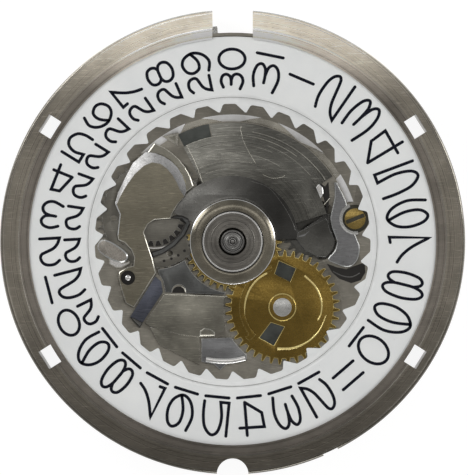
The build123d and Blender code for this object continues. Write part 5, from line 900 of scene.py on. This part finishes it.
def make_fan():
    """The side plate's fan with its broad slopes, the lower step along its curve, and the leaf's rim."""
    left = [
        (-7.29, 0.40), (-7.14, 1.72), (-7.44, 2.40), (-7.26, 3.07), (-6.88, 3.88), (-6.30, 4.98),
        (-5.50, 5.68),
    ]
    curve = [polar(2.63, angle, (-5.539, 3.051)) for angle in (76, 63, 50, 38, 26, 14, 3)]
    slopes = [
        (-7.22, 0.44), (-7.07, 1.75), (-7.33, 2.36), (-7.08, 2.92), (-6.70, 3.58), (-6.18, 4.28),
        (-5.62, 4.80), (-5.08, 5.02), (-4.58, 4.93), (-4.15, 4.62), (-3.80, 4.20), (-3.52, 3.72),
        (-3.32, 3.26), (-3.06, 2.86),
    ]
    rest = [
        (-3.50, 2.34), (-3.84, 1.74), (-3.93, 1.46), (-4.93, 1.40), (-5.36, 1.11), (-5.62, 0.60),
        (-5.35, -0.26), (-5.20, -0.70), (-5.08, -1.04), (-4.86, -1.98), (-6.24, -4.16), (-6.76, -3.88),
        (-6.98, -3.20), (-7.22, -2.30), (-7.17, -1.92), (-6.62, -1.60), (-6.27, -1.52), (-6.22, -0.98),
        (-6.41, -0.51), (-6.83, -0.05), (-7.23, 0.11),
    ]
    outline = left + curve + rest
    sloped = len(slopes)
    drops = [0.07] * sloped + [0.03] * len(rest)
    made = bmesh.new()
    edge = [made.verts.new((x, y, STEEL_TOP_Z - drop)) for (x, y), drop in zip(outline, drops)]
    top = layer(made, slopes + inset(outline, 0.05)[sloped:], STEEL_TOP_Z)
    for n, face in enumerate(skin(made, [layer(made, outline, LAND_Z), edge, top])[-len(outline):]):
        face.material_index = 1 if n < sloped - 1 else 2
    fan = piece("look_side_plate", made, "movement", "fan", "slope", "worn", slot="dark_steel")
    smooth(carve(fan, [rod(0.46, 1.0, (*STOP_PIN, LAND_Z))]), 28)
    rim = faceted([
        (-3.95, 1.50), (-3.72, 1.66), (-3.2, 1.66), (-2.8, 1.46), (-2.66, 1.12), (-2.99, 0.42),
        (-3.63, -0.28), (-4.35, -0.76), (-5.06, -1.0), (-5.18, -0.66), (-4.51, -0.43), (-3.91, -0.07),
        (-3.3, 0.53), (-3.0, 1.14), (-3.24, 1.42),
    ], LAND_Z, STEEL_TOP_Z - 0.04, 0.085, 0.07)
    # The leaf rim's inner slope takes painted shade.
    leaf = piece("look_leaf_rim", rim, "movement", "sheet", "shadow", slot="dark_steel")
    step = faceted([
        (-4.95, 6.22), (-4.36, 5.98), (-3.84, 5.63), (-3.38, 5.20), (-2.98, 4.68), (-2.68, 4.12),
        (-2.48, 3.52), (-2.92, 3.14), (-3.05, 3.86), (-3.26, 4.37), (-3.60, 4.82), (-4.03, 5.21),
        (-4.64, 5.53), (-5.40, 5.62),
    ], LAND_Z, STEEL_TOP_Z - 0.1, 0.055, 0.03)
    band = piece("look_fan_step", step, "movement", "plain_steel", "worn", slot="dark_steel")
    for made in (fan, leaf, band):
        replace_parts(made, "side_calendar_plate")


def make_lever():
    """The setting lever's blue-grey body with polished edges and the turned collar round its screw."""
    body = faceted(smooth_line([
        (6.6, 3.76), (6.95, 3.05), (7.20, 2.45), (7.4, 1.45), (7.83, 0.26), (8.04, -0.3), (7.98, -0.9),
        (7.84, -1.24), (7.56, -1.52), (7.16, -1.6), (6.64, -1.44), (6.02, -1.12), (6.44, -0.6),
        (6.60, -0.06), (6.54, 0.24), (6.3, 0.88), (6.19, 1.45), (6.25, 1.85), (6.46, 2.85), (6.44, 3.74),
    ], 3), LAND_Z, STEEL_TOP_Z, 0.06, 0.05)
    made = piece("look_setting_lever", body, "stem_lever", "lever", "steel", slot="blue_grey_steel")
    smooth(carve(made, [rod(1.0, 1.0, (*LEVER_SCREW, LAND_Z))]), 28)
    rim_z = STEEL_TOP_Z - 0.02
    collar = [(0.80, LAND_Z), (0.998, LAND_Z), (0.998, rim_z), (0.96, rim_z), (0.80, STEEL_TOP_Z - 0.07)]
    collar = lathe(collar, LEVER_SCREW, start=112, sweep=170)
    smooth(piece("look_lever_collar", collar, "stem_lever", "steel", slot="polished_steel"))
    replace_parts(made, "setting_lever")
    # Painted shade round the setting lever's screw.
    piece("look_screw_pit_shade", hoop(0.0, 0.89, LAND_Z - 0.158, LAND_Z - 0.15, LEVER_SCREW), "movement", "olive_shade")
    dressed("setting_lever_screw", "brass", "gold_edge", 0.09, slot="brass")
    # Painted shade in the screw's slot.
    slot = block((1.24, 0.25, 0.004), (*LEVER_SCREW, LAND_Z + 0.001), 22)
    piece("look_screw_slot_shade", slot, "movement", "olive_shade")
    spring = tube_path([(5.78, 2.33), (5.98, 2.54), (6.16, 2.74)], 0.035, STEEL_TOP_Z - 0.08)
    smooth(piece("look_lever_spring", spring, "movement", "worn", slot="polished_steel"), 50)


def make_side_parts():
    """The lower plate, jumper plate, jumper and its spring, corrector and pins."""
    dressed("lower_calendar_plate", "sheet", "steel", slot="blue_grey_steel")
    dressed("jumper_plate", "plain_steel", "worn", 0.05, slot="dark_steel")
    edge_line("look_jumper_edge", [(-4.26, -3.33), (-2.30, -3.39), (-0.32, -3.47)], 0.032, STEEL_TOP_Z - 0.01)
    # A bright line standing in for the highlight on the right rim of the sheet's hole.
    edge_line("look_hole_edge_highlight", [(-3.22, -2.84), (-3.05, -2.98), (-2.99, -3.20)], 0.040, LAND_Z + 0.11)
    # Painted shade in the sheet's hole.
    film("look_sheet_hole_shade", [polar(0.42, 15 * n, (-3.40, -3.24)) for n in range(13)], LAND_Z, "shadow")
    bump = [(-2.10, -5.98), (-2.06, -5.62), (-1.80, -5.45), (-1.38, -5.52), (-1.12, -5.72), (-1.12, -5.96)]
    bump = faceted(bump, STEEL_TOP_Z - 0.04, STEEL_TOP_Z + 0.06, 0.08, 0.05)
    smooth(piece("look_cover_bump", bump, "movement", "plain_steel", "worn", slot="dark_steel"), 20)
    dressed("jumper_spring", "blue", "dark", slot="blue_grey_steel")
    # The spring's wrapped end in dark steel, with painted shade on its slopes under the ring's teeth.
    wrap = [(-6.49, -4.77), (-6.33, -4.79), (-5.68, -5.12), (-5.86, -5.45)]
    wrap = faceted(wrap, STEP_TOP_Z - 0.01, STEP_TOP_Z + 0.05, 0.04, 0.04)
    piece("look_spring_wrap", wrap, "movement", "dark", "shadow", slot="dark_steel")
    dressed("date_jumper", "lever", "steel", 0.05, slot="dark_steel")
    bar = [(-1.68, -7.44), (-0.95, -7.54), (0.0, -7.53), (0.80, -7.36)]
    bar = tube_path(bar, 0.19, STEP_TOP_Z + 0.01, 0.6)
    smooth(piece("look_jumper_bar", bar, "jumper", "bright", slot="polished_steel"), 50)
    body = smooth_line([
        (-8.05, 0.13), (-7.70, 0.00), (-7.30, -0.24), (-6.93, -0.50), (-6.68, -0.76), (-6.62, -1.00),
        (-6.78, -1.24), (-7.08, -1.33), (-7.55, -1.20), (-8.05, -0.95),
    ], 3)
    tail = [
        (-8.05, 0.13), (-8.26, 0.14), (-8.42, 0.05), (-8.53, -0.15), (-8.56, -0.38), (-8.47, -0.62),
        (-8.05, -0.95),
    ]
    for name, outline, top, drop in (
        ("look_date_corrector", body, STEEL_TOP_Z, 0.06), ("look_corrector_tail", tail, LAND_Z + 0.02, 0.015),
    ):
        widths = [0.085] * (len(outline) - 1) + [0.001]
        part = faceted(outline, LAND_Z, top, widths, drop)
        made = piece(name, part, "corrector", "corrector", "steel", slot="polished_steel")
        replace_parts(smooth(made, 35), "date_corrector")
    foot = faceted([
        (-7.84, -1.02), (-7.32, -1.22), (-6.88, -1.33), (-6.50, -1.22), (-6.52, -1.40), (-7.02, -1.66),
        (-7.34, -1.68), (-7.80, -1.46),
    ], LAND_Z, STEEL_TOP_Z - 0.06, 0.07, 0.03)
    made = piece("look_corrector_foot", foot, "corrector", "bright", "worn", slot="polished_steel")
    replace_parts(made, "date_corrector")
    dressed("plate_posts", "steel", "bright", slot="polished_steel")
    # Painted shade in the hole round the stop pin's end.
    piece("look_pin_pit_shade", rod(0.45, 0.02, (*STOP_PIN, LAND_Z + 0.011), steps=48), "movement", "shadow")
    ball = bmesh.new()
    bmesh.ops.create_uvsphere(ball, u_segments=24, v_segments=14, radius=0.20)
    bmesh.ops.scale(ball, vec=(1, 1, 0.6), verts=ball.verts)
    bmesh.ops.translate(ball, vec=(*STOP_PIN, STEP_TOP_Z), verts=ball.verts)
    smooth(piece("look_pin_end", ball, "movement", "bright", slot="polished_steel"), 60)


# Rear side: bridges, winding wheels, rotor and screws

def make_rear():
    for node in ("barrel_bridge", "train_bridge", "automatic_bridge", "balance_cock", "pallet_bridge"):
        dressed(node, "stripes", "bright", 0.06, slot="plate_nickel")
    for node in ("ratchet_wheel", "crown_wheel", "barrel_arbor", "click", "click_spring", "casing_clamps"):
        dressed(node, "steel", "bright", slot="polished_steel")
    for node in ("clamp_screws", "bridge_screws", "automatic_screws", "wheel_screws", "rotor_screw"):
        dressed(node, "bright", "bright", slot="polished_steel")
    for node in ("reversing_wheel", "reduction_wheel", "balance_wheel"):
        dressed(node, "brass", "gold_edge", slot="brass")
    dressed("rotor_weight", "heavy", "bright", 0.08, slot="heavy_metal")
    dressed("rotor_plate", "stripes", "bright", 0.05, slot="brass")
    dressed("train_jewels", "ruby", "ruby", slot="ruby")
    dressed("shock_settings", "gold", "gold_edge", 0.04, slot="brass")
    dressed("main_plate", "nickel", "nickel_edge", slot="plate_nickel")


def finish_inner_nodes():
    """CAD nodes that keep their shape take better materials."""
    looks = {
        "brass": ("barrel_drum", "barrel_lid", "great_wheel", "third_wheel"),
        "gold": ("escape_wheel",),
        "blue": ("mainspring", "hairspring"),
        "ruby": ("pallet_stones",),
        "steel": (
            "driving_pinion", "pallet_fork", "balance_staff", "winding_pinion", "sliding_pinion",
            "bearing_balls",
        ),
    }
    for look, nodes in looks.items():
        for node in nodes:
            materials = frame["nodes"][node].data.materials
            materials.clear()
            materials.append(LOOK[look])


# Studio: floor, lights and camera

def make_floor():
    """A white floor, brighter to the camera and in reflections than the light that it casts."""
    half = 2000.0
    shader = Shader("floor_white")
    shader.coat("Base Color", (0.90, 0.90, 0.90))
    shader.coat("Roughness", 0.9)
    path = shader.node("ShaderNodeLightPath")
    seen = shader.math("MAXIMUM", path.outputs["Is Camera Ray"], path.outputs["Is Glossy Ray"])
    seen = shader.math("MAXIMUM", seen, path.outputs["Is Transmission Ray"])
    glow = shader.node("ShaderNodeEmission")
    glow.inputs["Strength"].default_value = 1.14
    blend = shader.node("ShaderNodeMixShader")
    shader.link(shader.math("MULTIPLY", seen, 0.80), blend.inputs[0])
    shader.link(shader.surface.outputs[0], blend.inputs[1])
    shader.link(glow.outputs[0], blend.inputs[2])
    shader.link(blend.outputs[0], shader.tree.nodes["Material Output"].inputs[0])
    floor = new_object("floor", slab([(-half, -half), (half, -half), (half, half), (-half, half)], -0.5, 0.0))
    floor.data.materials.append(shader.material)


def make_world():
    world = bpy.data.worlds.new("studio")
    world.use_nodes = True
    tree = world.node_tree
    place = tree.nodes.new("ShaderNodeTexCoord")
    split = tree.nodes.new("ShaderNodeSeparateXYZ")
    shade = tree.nodes.new("ShaderNodeValToRGB")
    tree.links.new(place.outputs["Generated"], split.inputs[0])
    tree.links.new(split.outputs["Z"], shade.inputs[0])
    shade.color_ramp.elements[0].position = 0.25
    shade.color_ramp.elements[0].color = (0.50, 0.51, 0.52, 1)
    shade.color_ramp.elements[1].position = 0.97
    shade.color_ramp.elements[1].color = (0.42, 0.41, 0.40, 1)
    tree.links.new(shade.outputs[0], tree.nodes["Background"].inputs["Color"])
    tree.nodes["Background"].inputs["Strength"].default_value = 0.94
    bpy.context.scene.world = world


def make_lamp(name, at, aim, size, power):
    lamp = bpy.data.lights.new(name, "AREA")
    lamp.shape = "RECTANGLE"
    lamp.size, lamp.size_y = (length * MM for length in size)
    lamp.energy = power
    made = bpy.data.objects.new(name, lamp)
    made.location = Vector(at) * MM
    made.rotation_mode = "QUATERNION"
    made.rotation_quaternion = (Vector(at) - Vector(aim)).to_track_quat("Z", "Y")
    made.visible_camera = False
    bpy.context.scene.collection.objects.link(made)


def make_lamps():
    make_lamp("top_strip", (0, 62, 300), (0, 8, 5), (240, 56), 0.044)
    make_lamp("left_panel", (-170, 120, 120), (0, 0, 5), (100, 110), 0.150)
    make_lamp("right_panel", (190, 60, 110), (0, 0, 5), (80, 110), 0.110)
    make_lamp("low_strip", (40, -210, 80), (0, 0, 5), (140, 40), 0.080)


def make_camera():
    """Straight above the dial side, with a lens that frames the photograph's size at the ring's height."""
    middle = Vector(((PHOTO_W / 2 - AXIS_X) * PIXEL, (AXIS_Y - PHOTO_H / 2) * PIXEL, CAMERA_Z))
    camera = bpy.data.cameras.new("camera")
    camera.sensor_width = 36.0
    camera.lens = camera.sensor_width * (CAMERA_Z - RING_TOP_Z) / (PHOTO_H * PIXEL)
    camera.clip_start, camera.clip_end = 0.01, 10.0
    made = bpy.data.objects.new("camera", camera)
    made.location = middle * MM
    bpy.context.scene.collection.objects.link(made)
    bpy.context.scene.camera = made


make_casing_ring()
make_date_ring()
make_numerals()
make_centre()
make_calendar_wheels()
make_upper_plate()
make_fan()
make_lever()
make_side_parts()
make_rear()
finish_inner_nodes()
make_floor()
make_world()
make_lamps()
make_camera()
bpy.context.scene.view_settings.view_transform = "Standard"
